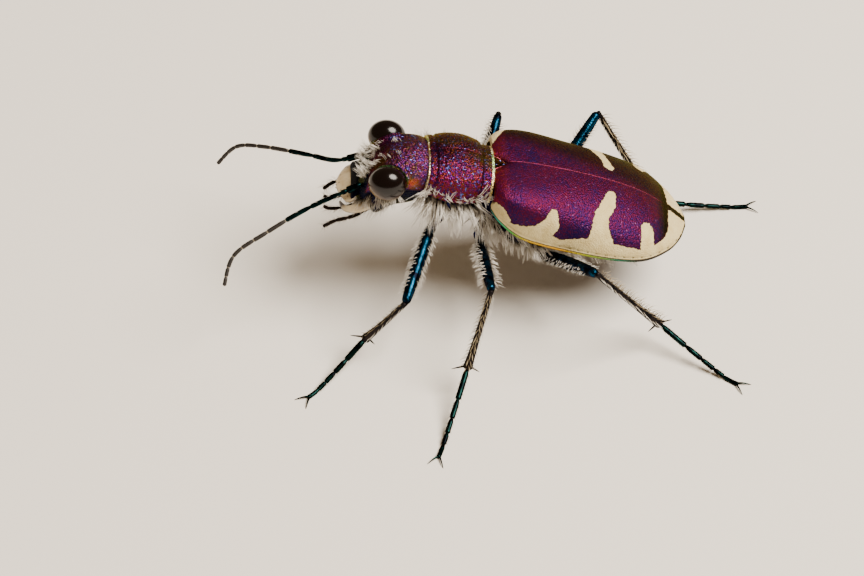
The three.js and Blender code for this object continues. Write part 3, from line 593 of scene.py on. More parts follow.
# The pink edge is a painted highlight along the bead.
edge = rise(np.abs(across), 0.86, 0.92) + 0 * reach
mesh_piece(
    "scutellum_plate", shell(on_body(upper), on_body(upper - (0, 0, SCUTELLUM_DEPTH))),
    rugose_cuticle("rugose_chitin_edge_highlight", BRONZE_STOPS, edge=SCUTELLUM_EDGE_HIGHLIGHT),
    "purple_cuticle", "scutellum", edge=np.concatenate([edge, edge], axis=1),
)

# Head capsule
# One box of hard chitin, its brow raised to a ridge along each eye. Fine ridges run beside the eyes, the
# back of the head is grained, and the cheeks below bulge out smooth and dark to the roots of the jaws.
HEAD_ROWS = np.array([  # y, half width, crest, level of the widest part, keel, height of the brows
    (-2.98, 1.20, 1.80, 1.00, 0.00, 0.00),
    (-3.13, 1.46, 2.05, 1.00, -0.20, 0.00),
    (-3.6, 1.55, 2.18, 1.00, -0.60, 0.03),
    (-4.2, 1.52, 2.11, 0.90, -0.95, 0.10),
    (-4.9, 1.46, 1.84, 0.70, -1.36, 0.16),
    (-5.5, 1.40, 1.40, 0.35, -1.24, 0.10),
    (-5.85, 1.24, 0.85, -0.10, -1.12, 0.00),
    (-6.0, 1.02, 0.42, -0.30, -1.02, 0.00),
    (-6.08, 0.75, 0.12, -0.32, -0.88, 0.00),
])
HEAD_HINGE, HEAD_DIP, HEAD_TURN = np.array((0, -3.1, 0.8)), 1.0, -2.5
BROW_AT, BROW_WIDTH, CHEEK_ROUNDNESS = 1.05, 0.30, 0.62
CHEEK_BOSS, CHEEK_BOSS_AT, CHEEK_BOSS_SIZE = 0.30, (1.2, -5.02, -1.0), (0.6, 0.45, 0.5)
EYE_CENTRE, EYE_RADII = (1.63, -4.93, 1.03), (0.74, 0.92, 0.86)
ORBIT_RIDGE, ORBIT_WIDTH, STRIA_DEPTH, STRIA_SPACING = 0.05, 0.07, 0.014, 0.085
FROWN_FRONT, FROWN_BACK, HOLLOW_DEPTH, HOLLOW_AT, HOLLOW_SIZE = -5.8, -4.3, 0.10, (0.45, -5.5), (0.18, 0.5)
BRONZED_ALONG, BRONZED_ACROSS, DARK_BELOW, DARK_FRONT = (-4.75, -5.25), (1.25, 1.05), (0.1, 0.22), (-5.72, -5.8)
GLEAM, GLEAM_AT, GLEAM_SIZE, GLEAM_ACROSS, GOLD_LINE = 0.65, (-3.75, 1.25), (0.3, 0.28), (0.9, 1.2), (1.12, 1.07)


def on_head(points):
    """Tips and turns points about the neck, then moves them with the prothorax."""
    tilt = turn("X", HEAD_DIP) @ turn("Z", HEAD_TURN)
    return on_prothorax((points - HEAD_HINGE) @ tilt.T + HEAD_HINGE)


def unit(vectors):
    """Vectors divided by their lengths."""
    return vectors / np.linalg.norm(vectors, axis=-1, keepdims=True)


def distance_from(points, centre, radii):
    """Distance from a place on the points' own side of the head, as a multiple of radii."""
    folded = np.concatenate([np.abs(points[..., :1]), points[..., 1:]], axis=-1)
    return np.linalg.norm((folded - centre) / radii, axis=-1)


def head_point(share, angle, inset=0.0):
    """Point of the head capsule at an angle from its top, raised along the brows and round the eyes."""
    y, _, _, level, _, brow = np.moveaxis(rows_at(HEAD_ROWS, share), -1, 0)
    points = trunk_point(HEAD_ROWS, share, angle, inset, CHEEK_ROUNDNESS)
    x, _, z = np.moveaxis(points, -1, 0)
    across, above, outward = np.abs(x), z > level, unit(np.stack([x, 0 * x, z - level], -1))
    frown = rise((y - FROWN_FRONT) * (FROWN_BACK - y), 0, 0.4) * rise(across, 0.25, 0.55)
    striae = STRIA_DEPTH * frown * np.sin(2 * math.pi * (across + 0.1 * np.sin(2 * y)) / STRIA_SPACING)
    hollow = HOLLOW_DEPTH * hump(across - HOLLOW_AT[0], HOLLOW_SIZE[0]) * hump(y - HOLLOW_AT[1], HOLLOW_SIZE[1])
    orbit = ORBIT_RIDGE * hump(distance_from(points, EYE_CENTRE, EYE_RADII) - 1.06, ORBIT_WIDTH)
    boss = CHEEK_BOSS * hump(distance_from(points, CHEEK_BOSS_AT, CHEEK_BOSS_SIZE), 1)
    points[..., 2] += above * (brow * hump(across - BROW_AT, BROW_WIDTH) + striae - hollow)
    return points + outward * (orbit + boss)[..., None]


# The attributes say how far a point is into a region: the bronze frown, the orange and green gleam behind each eye,
# which is a painted sheen, the gold line over it, and the dark cheeks and front.
HEAD_STOPS = [
    (0.0, "#122A54"), (1.0, "#40461E"), (0.30, "#222866"), (0.42, "#381C5C"), (0.52, "#4C1C50"),
    (0.63, "#581C42"), (0.74, "#5C2634"), (0.86, "#4E3426"),
]
head_cuticle = rugose_cuticle(
    "grained_head_chitin", HEAD_STOPS,
    frown=[(0.38, "#2A0C26"), (0.64, "#4A3018"), (0.5, "#481032")],
    gleam=[(0.38, "#B8281E"), (0.62, "#4E7E1A"), (0.5, "#C8641A")],
    orbit=[(0.4, "#5E4A1E"), (0.62, "#2A5434")],
    cheek=[(0.35, "#050514"), (0.65, "#0C1030"), (0.5, "#0C0824")],
)
share, angle = grid(300, 320)
local = head_point(share, angle)
across, y, z = np.abs(local[..., 0]), local[..., 1], local[..., 2]
below = rows_at(HEAD_ROWS, share)[..., 3] - z
mesh_piece(
    "head_shell", lofted(on_head(local)), head_cuticle, "purple_cuticle", "head_capsule",
    frown=rise(y, *BRONZED_ALONG) * rise(across, *BRONZED_ACROSS),
    # An orange and green painted sheen behind each eye.
    gleam=GLEAM * hump(y - GLEAM_AT[0], GLEAM_SIZE[0]) * hump(z - GLEAM_AT[1], GLEAM_SIZE[1])
    * rise(across, *GLEAM_ACROSS),
    orbit=rise(distance_from(local, EYE_CENTRE, EYE_RADII), *GOLD_LINE) * (z > 0.9),
    cheek=np.maximum(rise(below, *DARK_BELOW), rise(y, *DARK_FRONT)),
)

# Eyes
# Two bulging compound eyes of clear chitin over dark pigment: glossy, nearly black above, with a paler brown margin
# below and in front that is painted light, standing for light that gets in from the side.
EYE_SPECKLE, FACET, FACET_RELIEF = 0.3, 0.035, 0.008  # mm; the real facets are too fine to show
POLE_GAP = 0.02
eye_lens, shader, add = new_material("clear_eye_chitin", Roughness=0.15, IOR=1.4)
place = add("TexCoord", output="Object")
margin = add("Attribute", output="Fac", attribute_name="margin")
speckle = add("TexNoise", {"Vector": place, "Scale": 1 / (EYE_SPECKLE * MM), "Detail": 2.0})
wobble = add("Math", {0: speckle, 1: 0.16, 2: margin}, operation="MULTIPLY_ADD")
facets = add("TexVoronoi", {"Vector": place, "Scale": 1 / (FACET * MM)})
eye_stops = [(0.1, "#080303"), (1.0, "#8A7048"), (0.4, "#160A07"), (0.68, "#3E2A1A")]
set_inputs(shader, {
    "Base Color": add("ValToRGB", {0: wobble}, stops=eye_stops),
    "Normal": add("Bump", {"Height": facets, "Strength": 0.1, "Distance": FACET_RELIEF * MM}),
})
share, angle = grid(60, 90)
polar = POLE_GAP + (math.pi - 2 * POLE_GAP) * share  # from the line across the head
ball = np.stack([np.cos(polar) + 0 * angle, np.sin(polar) * np.cos(angle), np.sin(polar) * np.sin(angle)], -1)
_, y, z = np.moveaxis(ball, -1, 0)
for side_name, side in SIDES.items():
    dome = on_head(ball * EYE_RADII + np.array(EYE_CENTRE) * (side, 1, 1))
    mesh_piece(
        f"eye_dome_{side_name}", lofted(dome), eye_lens, "eye_lens", f"eye_{side_name}",
        # The margin: a painted paler brown below and in front, for light that gets in from the side.
        margin=np.clip(0.62 * np.maximum(-y, 0) + 0.4 * np.maximum(y, 0) - 0.95 * z, 0, 1),
    )

# Clypeus and labrum
# The clypeus is a narrow dark plate over the mouth. The labrum hinges on it: a broad ivory lip, bowed
# from side to side, with small teeth at the middle of its edge and a row of pits that hold bristles.
CLYPEUS_ROWS = np.array([  # y, half width, top, level of the widest part, keel
    (-5.95, 0.98, 0.16, -0.36, -0.95),
    (-6.12, 1.14, -0.06, -0.52, -0.98),
    (-6.26, 1.22, -0.34, -0.64, -1.0),
    (-6.33, 1.12, -0.50, -0.68, -0.9),
])
LABRUM_HALF, LABRUM_LENGTH, LABRUM_TILT, LABRUM_BOW = 1.3, 0.88, 34.0, 0.10
LABRUM_HINGE, LABRUM_WALL, LABRUM_TEETH_AT, LABRUM_TOOTH = np.array((0, -6.24, -0.56)), 0.10, (-0.17, 0.0, 0.17), 0.07
IVORY_CLOUD, IVORY_RELIEF = 0.4, 0.03  # mm
violet_black_cuticle = metallic_chitin("violet_black_chitin", "#050518", "#100C34", 0.36)
rings = on_head(trunk_point(CLYPEUS_ROWS, *grid(40, 96)))
mesh_piece("clypeus_plate", lofted(rings), violet_black_cuticle, "blue_black_cuticle", "clypeus")

ivory_cuticle, shader, add = new_material("ivory_chitin", Roughness=0.34, IOR=1.5)
brown = add("Attribute", output="Fac", attribute_name="browned")
cloud = add("TexNoise", {"Vector": add("TexCoord", output="Object"), "Scale": 1 / (IVORY_CLOUD * MM), "Detail": 4.0})
ivory = add("ValToRGB", {0: cloud}, stops=[(0.3, "#C6AF86"), (0.7, "#E2D3B2")])
set_inputs(shader, {
    "Base Color": add("Mix", {0: brown, 6: ivory, 7: srgb("#2A1409")}, 2, data_type="RGBA"),
    "Normal": add("Bump", {"Height": cloud, "Strength": 0.3, "Distance": IVORY_RELIEF * MM}),
})

# The lip is shorter at its sides, by a power of the distance from the middle, and each tooth is a narrow
# hump on its edge. It bows down as a parabola across, and thins to all edges.
along, across = grid(70, 141, -1, 1)
from_middle = np.abs(across)
teeth = sum(LABRUM_TOOTH * hump(across - at, 0.04) for at in LABRUM_TEETH_AT)
x = LABRUM_HALF * across * (0.965 + 0.05 * np.sin(math.pi * along))
y = -LABRUM_LENGTH * along * (0.98 - 0.5 * rise(from_middle, 0.12, 1) ** 1.7 + teeth * along**6)
swell = 0.06 * (1 - across**2) * np.sin(math.pi * along**0.8) - LABRUM_BOW * x**2
thin = LABRUM_WALL / 2 * (1 - across**10) * np.sqrt(1 - along**8)
upper, lower = (
    on_head(np.stack([x, y, swell + face * thin - 0.05], -1) @ turn("X", LABRUM_TILT).T + LABRUM_HINGE)
    for face in (1, -1)
)
pits = hump(along - 0.80, 0.03) * np.clip(np.cos(across * 15.0) * 8 - 6.9, 0, 1)
pits = pits + hump(along - 0.5, 0.04) * hump(from_middle - 0.76, 0.025)
rim = rise(along, 0.955, 0.985) + rise(from_middle, 0.96, 0.99)
mesh_piece(
    "labrum_plate", shell(upper, lower), ivory_cuticle, "ivory_cuticle", "labrum",
    browned=on_outside(np.clip(pits + rim, 0, 1)),
)

# Jaws and palps
# The mandibles are curved horns that fold under the lip: ivory at the base with a brown edge, dark brown
# and toothed at the tip. The palps are thin jointed feelers of the mouth, dark and bristly.
MANDIBLE_LINE = np.array([
    (1.1, -5.3, -0.92), (1.37, -5.8, -1.08), (1.32, -6.15, -1.28), (1.08, -6.42, -1.52), (0.4, -6.62, -1.76)
])
MANDIBLE_RADIUS, MANDIBLE_TEETH_AT, MANDIBLE_TOOTH = 0.27, (0.66, 0.78, 0.88), 0.16
PALPS = {  # middle line, lengths of the joints and radius
    "maxillary": (((0.8, -5.0, -1.2), (1.25, -5.9, -1.75), (1.35, -6.75, -2.2), (1.3, -7.2, -2.75)),
                  (0.22, 0.3, 0.2, 0.28), 0.10),
    "labial": (((0.32, -5.2, -1.25), (0.42, -6.1, -1.95), (0.38, -6.9, -2.35), (0.34, -7.3, -2.3)),
               (0.25, 0.4, 0.35), 0.09),
}


def along_curve(points, count, start=0.0, end=1.0):
    """Points evenly spaced by length on the cubic curve through a few points, between two shares of it."""
    dense = rows_at(points, np.linspace(0, 1, 600))
    run = np.concatenate([[0], np.cumsum(np.linalg.norm(np.diff(dense, axis=0), axis=1))])
    wanted = np.linspace(start, end, count) * run[-1]
    return np.stack([np.interp(wanted, run, values) for values in dense.T], -1)


def path_axes(path, up=(0, 0, 1)):
    """Forward, sideways and upward unit vectors along a path, upward being nearest to a fixed direction."""
    forward = unit(np.gradient(path, axis=0))
    sideways = unit(np.cross(forward, up))
    return forward, sideways, np.cross(sideways, forward)


def tube(path, width, depth, ring=20, up=(0, 0, 1)):
    """Elliptic rings round a path, of given half widths sideways and half depths upward."""
    _, sideways, upward = path_axes(path, up)
    turns = grid(1, ring)[1][..., None]
    wide = np.cos(turns) * sideways[:, None] * np.reshape(width, (-1, 1, 1))
    deep = np.sin(turns) * upward[:, None] * np.reshape(depth, (-1, 1, 1))
    return path[:, None] + wide + deep


def joint_profile(share, lengths, neck=0.55):
    """Thickness along a chain of joints, and the share of its own joint that each point has run. A joint
    widens from a narrow base to its end, then drops to a neck."""
    ends = np.cumsum(lengths) / np.sum(lengths)
    starts = np.concatenate([[0], ends[:-1]])
    joint = np.clip(np.searchsorted(ends, share), 0, len(ends) - 1)
    within = (share - starts[joint]) / (ends[joint] - starts[joint])
    body = neck + (1 - neck) * rise(within, 0, 0.25) ** 0.6 * (0.82 + 0.18 * within)
    return body * (1 - (1 - neck) * rise(within, 0.94, 1) ** 1.5), within


palp_cuticle = metallic_chitin("bronze_chitin", "#0E0B0A", "#241A12", 0.3, 0.6)
# A mandible is rings round a curve, with a radius that falls as (1 - share)^0.55, and teeth as humps on the
# side that faces inward. A palp is round, with the thickness of its joints and a round tip.
for side_name, side in SIDES.items():
    path = along_curve(MANDIBLE_LINE * (side, 1, 1), 90)
    share, angle = grid(90, 36)
    radius = MANDIBLE_RADIUS * (1 - share) ** 0.55 + 0.02
    inward = np.array((-side, -0.2, 0))
    rings = tube(path, radius * 0.8, radius * (1.05 - 0.3 * share), angle.size)
    facing = np.clip((rings - path[:, None]) @ inward / radius, 0, 1)
    teeth = sum(MANDIBLE_TOOTH * hump(share - at, 0.03) for at in MANDIBLE_TEETH_AT)
    rings = rings + (facing**3 * teeth)[..., None] * inward
    browned = np.clip(rise(share, 0.62, 0.74) + 0.8 * hump(np.sin(angle) + 0.55, 0.12), 0, 1)
    mesh_piece(
        f"mandible_horn_{side_name}", lofted(on_head(rings)), ivory_cuticle, "ivory_cuticle",
        f"mandible_{side_name}", browned=np.append(browned, (0, 1)),
    )
    for name, (line, joints, radius) in PALPS.items():
        path = along_curve(np.array(line) * (side, 1, 1), 120)
        thick = radius * joint_profile(np.linspace(0, 1, 120), joints)[0]
        thick[-6:] *= np.sqrt(1 - np.linspace(0, 0.97, 6) ** 2)
        mesh_piece(
            f"{name}_feeler_{side_name}", lofted(on_head(tube(path, thick, thick, 18))),
            palp_cuticle, "bronze_cuticle", f"{name}_palp_{side_name}",
        )

# Feelers
# Eleven joints each, from a pit in front of the eye. The first four are smooth and metallic; the rest are
# dull with a close felt, and a pale ring of joint skin shows where one meets the next.
FEELER_ROOT = (1.02, -6.0, 0.12)
FEELER_JOINTS = (0.75, 0.28, 1.65, 1.38, 1.05, 0.78, 0.68, 0.6, 0.58, 0.45, 0.48)
FEELER_LINES = {
    "left": ((0, 0, 0), (0.69, -2.56, -0.78), (1.44, -4.58, -1.57), (2.15, -6.17, -2.32), (3.21, -6.7, -3.3)),
    "right": ((0, 0, 0), (-0.32, -1.2, -0.63), (-1.1, -2.55, -0.98), (-2.3, -4.56, -1.6), (-2.95, -5.91, -2.2),
              (-3.0, -6.85, -3.4)),
}
FELT, FELT_RELIEF, FEELER_RING = 0.05, 0.01, 18

teal_cuticle = metallic_chitin("teal_chitin", "#030709", "#0A2C2D", 0.17, 0.9, 0.4, 0.006)
whip_cuticle, shader, add = new_material("felted_chitin", Roughness=0.5, Metallic=0.15)
skin = add("Attribute", output="Fac", attribute_name="joint_skin")
felt = add("TexNoise", {"Vector": add("TexCoord", output="Object"), "Scale": 1 / (FELT * MM), "Detail": 3.0})
dusky = add("ValToRGB", {0: felt}, stops=[(0.35, "#0C0A08"), (0.7, "#261F1A")])
set_inputs(shader, {
    "Base Color": add("Mix", {0: skin, 6: dusky, 7: srgb("#8F8470")}, 2, data_type="RGBA"),
    "Normal": add("Bump", {"Height": felt, "Strength": 0.6, "Distance": FELT_RELIEF * MM}),
})
FEELER_PARTS = {  # first joint, end, radius, tapering, cuticle and slot
    "scape": (0, 1, 0.18, 0, teal_cuticle, "teal_cuticle"),
    "base": (1, 4, 0.125, 0, teal_cuticle, "teal_cuticle"),
    "whip": (4, 11, 0.112, 0.12, whip_cuticle, "feeler_cuticle"),
}

joint_ends = np.cumsum((0, *FEELER_JOINTS)) / np.sum(FEELER_JOINTS)
feeler_paths = {}
for side_name, side in SIDES.items():
    line = FEELER_LINES[side_name] + on_head(np.array(FEELER_ROOT) * (side, 1, 1))
    for part, (first, end, radius, tapering, cuticle, slot) in FEELER_PARTS.items():
        share = np.linspace(0, 1, 50 * (end - first) + 20)
        path = along_curve(line, share.size, joint_ends[first], joint_ends[end])
        profile, within = joint_profile(share, FEELER_JOINTS[first:end], 0.6)
        thick = radius * profile * (1 - tapering * share)
        if part == "whip":
            thick[-8:] *= np.sqrt(1 - np.linspace(0, 0.97, 8) ** 2)
        feeler_paths[part, side_name] = path, thick
        mesh_piece(
            f"feeler_{part}_joints_{side_name}", lofted(tube(path, thick, thick, FEELER_RING)), cuticle, slot,
            f"feeler_{part}_{side_name}",
            joint_skin=np.repeat(rise(np.minimum(within, 1 - within), 0.05, 0), FEELER_RING),
        )

# Legs
# Six slender running legs of metallic chitin: a stubby hip and its small ring, a spindle-shaped thigh, a
# thin shin with two spurs at its end, and a foot of five joints that ends in two claws on the ground.
HIPS = {  # root and tip of each left hip in the frame of the segment that carries it
    "front": ((0.62, -1.7, -0.75), (1.25, -2.15, -1.58)),
    "middle": ((0.72, 0.25, -1.0), (1.35, 0.4, -2.05)),
    "hind": ((0.75, 2.6, -1.3), (1.55, 3.5, -2.05)),
}
LEG_LENGTHS = {"front": (4.35, 3.45, 4.0), "middle": (4.7, 4.45, 4.8), "hind": (5.65, 6.0, 4.75)}
STANCE = {  # thigh's heading and lift, shin's heading and lift, foot's heading, in degrees
    "front_left": (-20.3, -14.9, -100.3, -55.8, -48.4),
    "front_right": (-22.4, -7.0, -82.4, -75.5, 10.0),
    "middle_left": (3.5, 17.7, -42.0, -67.0, -20.8),
    "middle_right": (18.6, 23.1, -30.5, -71.1, -53.0),
    "hind_left": (28.1, 32.9, 106.5, -54.7, 52.3),
    "hind_right": (40.6, 28.3, 115.0, -58.3, 89.0),
}
FOOT_JOINTS = (0.34, 0.2, 0.16, 0.12, 0.18)
SOLID_TOE_HEIGHT, TOE_HEIGHT = 0.22, 0.10
THIGH_RADIUS = {"front": 0.29, "middle": 0.27, "hind": 0.29}
HIP_RADIUS, HIP_RING_RADIUS, SHIN_RADIUS, FOOT_RADIUS = 0.46, 0.23, 0.145, 0.162
SPUR_LENGTH, SPUR_RADIUS, CLAW_LENGTH, CLAW_RADIUS, CLAW_SPREAD = 0.7, 0.055, 0.78, 0.05, 32.0


def direction(side, heading, lift):
    """Unit vector at a heading from straight outwards towards the tail, and a lift above the level."""
    heading, lift = math.radians(heading), math.radians(lift)
    level = math.cos(lift)
    return np.array((side * level * math.cos(heading), level * math.sin(heading), math.sin(lift)))


def straight(start, end, count, sag=0.0):
    """Evenly spaced points on a line that bows down by a sag at its middle."""
    t = np.linspace(0, 1, count)[:, None]
    return start + (end - start) * t - np.array((0, 0, 1)) * sag * 4 * t * (1 - t)


def taper(start, way, length, radius, bend=(0, 0, 0)):
    """A pointed rod: its middle line bends by a vector times the square of the share run."""
    t = np.linspace(0, 1, 24)[:, None]
    thick = radius * (1 - t) ** 0.6 + 0.004
    return lofted(tube(start + way * length * t + np.array(bend) * t**2, thick, thick, 10, up=(0.1, 0.2, 1)))


thigh_cuticle = metallic_chitin("steel_blue_chitin", "#04060F", "#0A3850", 0.22, 0.92, 0.4, 0.014)
shin_cuticle = metallic_chitin("dark_bronze_chitin", "#0C0B0E", "#2A2422", 0.28, 0.8, 0.5, 0.008)
foot_cuticle = metallic_chitin("green_black_chitin", "#030507", "#0C2623", 0.2, 0.9, 0.4, 0.006)
thigh_lines, shin_lines, foot_lines = {}, {}, {}
for leg, (thigh_heading, thigh_lift, shin_heading, shin_lift, foot_heading) in STANCE.items():
    pair, side_name = leg.split("_")
    side, radius = SIDES[side_name], THIGH_RADIUS[pair]
    thigh_length, shin_length, foot_length = LEG_LENGTHS[pair]
    carrier = on_prothorax if pair == "front" else on_body
    shin_way = direction(side, shin_heading, shin_lift)
    root, hip = (carrier(np.array(p) * (side, 1, 1)) for p in HIPS[pair])
    knee = hip + direction(side, thigh_heading, thigh_lift) * thigh_length
    ankle = knee + shin_way * shin_length

    # The hip's cone narrows by 45% and closes in a round tip. Its ring is a short spheroid before the thigh.
    share = np.linspace(0, 1, 40)
    thick = HIP_RADIUS * (1 - 0.45 * share) * np.sqrt(np.maximum(1 - rise(share, 0.5, 1) ** 6, 0.02))
    ring_path = straight(hip + (root - hip) * 0.18, hip + (knee - hip) * 0.13, 24)
    ring_thick = HIP_RING_RADIUS * np.sqrt(1 - np.linspace(-0.98, 0.98, 24) ** 2) + 0.02
    cone, ring = tube(straight(root, hip, 40), thick, thick, 24), tube(ring_path, ring_thick, ring_thick)
    surface = joined(lofted(cone), lofted(ring))
    mesh_piece(f"hip_cone_{leg}", surface, blue_black_cuticle, "blue_black_cuticle", f"hip_{leg}")

    # The thigh swells as a sine, bent so that it is thickest before the middle, and closes as an ellipse does.
    share = np.linspace(0, 1, 120)
    spindle = radius * (0.58 + 0.42 * np.sin(math.pi * np.clip(share * 1.02, 0, 1) ** 0.72) ** 0.7 + 0.14 * share)
    thick = spindle * np.sqrt(np.maximum(1 - (np.maximum(share - 0.965, 0) / 0.036) ** 2, 0.02))
    path = straight(hip, knee, 120, -0.04)
    thigh_lines[leg] = path, spindle
    rings = tube(path, thick, 1.1 * thick, 28)
    mesh_piece(f"thigh_spindle_{leg}", lofted(rings), thigh_cuticle, "steel_blue_cuticle", f"thigh_{leg}")

    # The shin widens to its end with the fifth power of the share run, where the two spurs stand.
    widening = SHIN_RADIUS * (0.95 + 0.2 * share + 0.55 * share**5)
    thick = widening * np.sqrt(np.maximum(1 - (np.maximum(share - 0.985, 0) / 0.016) ** 2, 0.03))
    path = straight(knee, ankle, 120, 0.05)
    shin_lines[leg] = path, widening
    apart = unit(np.cross(shin_way, (1, 0, 0)))
    spurs = (
        taper(ankle + apart * way * 0.12 - shin_way * 0.12, shin_way * 0.4 + apart * way * 0.92, length, SPUR_RADIUS)
        for way, length in ((1, SPUR_LENGTH), (-1, 0.8 * SPUR_LENGTH))
    )
    surface = joined(lofted(tube(path, thick, thick)), *spurs)
    mesh_piece(f"shin_rod_{leg}", surface, shin_cuticle, "bronze_cuticle", f"shin_{leg}")

    # The foot keeps the solid's heading and length. It sags a little, and its last joint lies on the ground.
    solid_lift = -math.degrees(math.asin((ankle[2] - SOLID_TOE_HEIGHT) / foot_length))
    toe = ankle + direction(side, foot_heading, solid_lift) * foot_length
    toe[2] = TOE_HEIGHT
    last_joint = toe + (ankle - toe) * FOOT_JOINTS[-1]
    last_joint[2] = TOE_HEIGHT + 0.02
    middle = (ankle + last_joint) / 2 - (0, 0, 0.05)
    path = along_curve(np.array([ankle, middle, last_joint, toe]), 200)
    thick = FOOT_RADIUS * joint_profile(np.linspace(0, 1, 200), FOOT_JOINTS, 0.5)[0] * np.linspace(1, 0.72, 200)
    thick[-6:] *= np.sqrt(1 - np.linspace(0, 0.95, 6) ** 2)
    foot_lines[leg] = path, thick
    claws = (
        taper(path[-8], direction(side, foot_heading + spread, 14), CLAW_LENGTH, CLAW_RADIUS, (0, 0, -0.26))
        for spread in (-CLAW_SPREAD, CLAW_SPREAD)
    )
    surface = joined(lofted(tube(path, thick, 0.9 * thick, 18)), *claws)
    mesh_piece(f"foot_joints_{leg}", surface, foot_cuticle, "teal_cuticle", f"foot_{leg}")

# Bristles and hair
# White hairs stand from the chitin, each in its own socket: combs along the thighs, fewer on the shins, a
# ruff over the sides of the thorax and hips, and short ones on the front of the head. Every hair is a solid
# three-sided taper.
HAIR_STEPS, HAIR_SIDES, LOCK_HAIRS, BAKE_PATCH, RUFF_TILE, HAIR_TINT = 6, 3, 5, 0.003, 0.2, 0.5


def hair_mesh(roots, ways, lengths, radius, bends, places):
    """Tapered hairs. Middle line: root + way·length·t + bend·length·t², radius falling as (1 - t) to the 0.7.
    Each hair's patch of the bake map lies at its root's place on the unwrap of what it grows from."""
    t = np.linspace(0, 1, HAIR_STEPS)
    ways = unit(ways)
    lines = roots[:, None] + lengths[:, None, None] * (ways[:, None] * t[:, None] + bends[:, None] * t[:, None] ** 2)
    first = unit(np.cross(ways, (0.31, 0.52, 0.79)))
    turns = np.arange(HAIR_SIDES)[:, None] * 2 * math.pi / HAIR_SIDES
    spokes = np.cos(turns) * first[:, None] + np.sin(turns) * np.cross(ways, first)[:, None]
    points = lines[:, :, None] + radius * ((1 - t) ** 0.7 + 0.08)[:, None, None] * spokes[:, None]
    index, walls = ring_walls(HAIR_STEPS, HAIR_SIDES)
    starts = np.arange(len(roots))[:, None, None] * index.size
    faces = [(part + starts).reshape(-1, part.shape[1]) for part in (walls, index[:1, ::-1], index[-1:])]
    patch = np.stack(np.meshgrid(np.arange(HAIR_SIDES) / (HAIR_SIDES - 1), t), -1).reshape(1, -1, 2) - 0.5
    bake = (places[:, None] * (1 - BAKE_PATCH) + BAKE_PATCH / 2 + patch * BAKE_PATCH).reshape(-1, 2)
    return (points.reshape(-1, 3), faces), bake


def add_hairs(name, batches, material, slot):
    """One piece from several batches of hairs."""
    surfaces, bakes = zip(*(hair_mesh(*batch) for batch in batches))
    bake = np.concatenate(bakes)
    to_tip = np.resize(np.repeat(np.linspace(0, 1, HAIR_STEPS), HAIR_SIDES), len(bake))
    mesh_piece(name, joined(*surfaces), material, slot, OFBake=bake, to_tip=to_tip)


def hair_tones(name, stops):
    """Hair with painted shade at the root, where light is lost between hairs, and pale to the tip; it varies in
    patches.
    """
    material, shader, add = new_material(name, Roughness=0.42, IOR=1.55)
    to_tip = add("Attribute", output="Fac", attribute_name="to_tip")
    tint = add("TexNoise", {"Vector": add("TexCoord", output="Object"), "Scale": 1 / (HAIR_TINT * MM), "Detail": 2.0})
    tone = add("Math", {0: tint, 1: 0.5, 2: to_tip}, operation="MULTIPLY_ADD")
    set_inputs(shader, {"Base Color": add("ValToRGB", {0: tone}, stops=stops)})
    return material


def comb(line, radii, rows, spacing, length, lean, rng, span=(0.08, 0.97), place=(0.0, 0.0), thick=0.016):
    """Rows of hairs along a limb. A row is the angle round the limb where its hairs stand and the angle they
    point to, from the level; they also lean to the limb's end and droop a little."""
    batches = []
    steps, courses = np.arange(len(line)), (line, *path_axes(line))
    run = np.linalg.norm(np.diff(line, axis=0), axis=1).sum()
    for row in rows:
        count = max(int(run * (span[1] - span[0]) / spacing), 1)
        share = np.clip(np.linspace(*span, count) + rng.normal(0, 0.25 * spacing / run, count), 0, 1)
        at = share * (len(line) - 1)
        centre, ahead, level, above = (
            np.stack([np.interp(at, steps, values) for values in course.T], -1) for course in courses
        )
        around, towards = (np.radians(angle) + rng.normal(0, 0.14, count) for angle in row)
        out, point = (
            level * np.cos(angle)[:, None] + above * np.sin(angle)[:, None] for angle in (around, towards)
        )
        ways = point + ahead * (lean + rng.normal(0, 0.1, count))[:, None] + rng.normal(0, 0.07, (count, 3))
        bends = ahead * 0.35 - out * 0.1 - np.array((0, 0, 0.08)) + rng.normal(0, 0.05, (count, 3))
        places = np.stack([place[0] + 0.1 * (around / (2 * math.pi) % 1), place[1] + 0.15 * share], -1)
        roots = centre + out * (np.interp(at, steps, radii) * 0.92)[:, None]
        batches.append((roots, ways, length * rng.uniform(0.8, 1.12, count), thick, bends, places))
    return batches


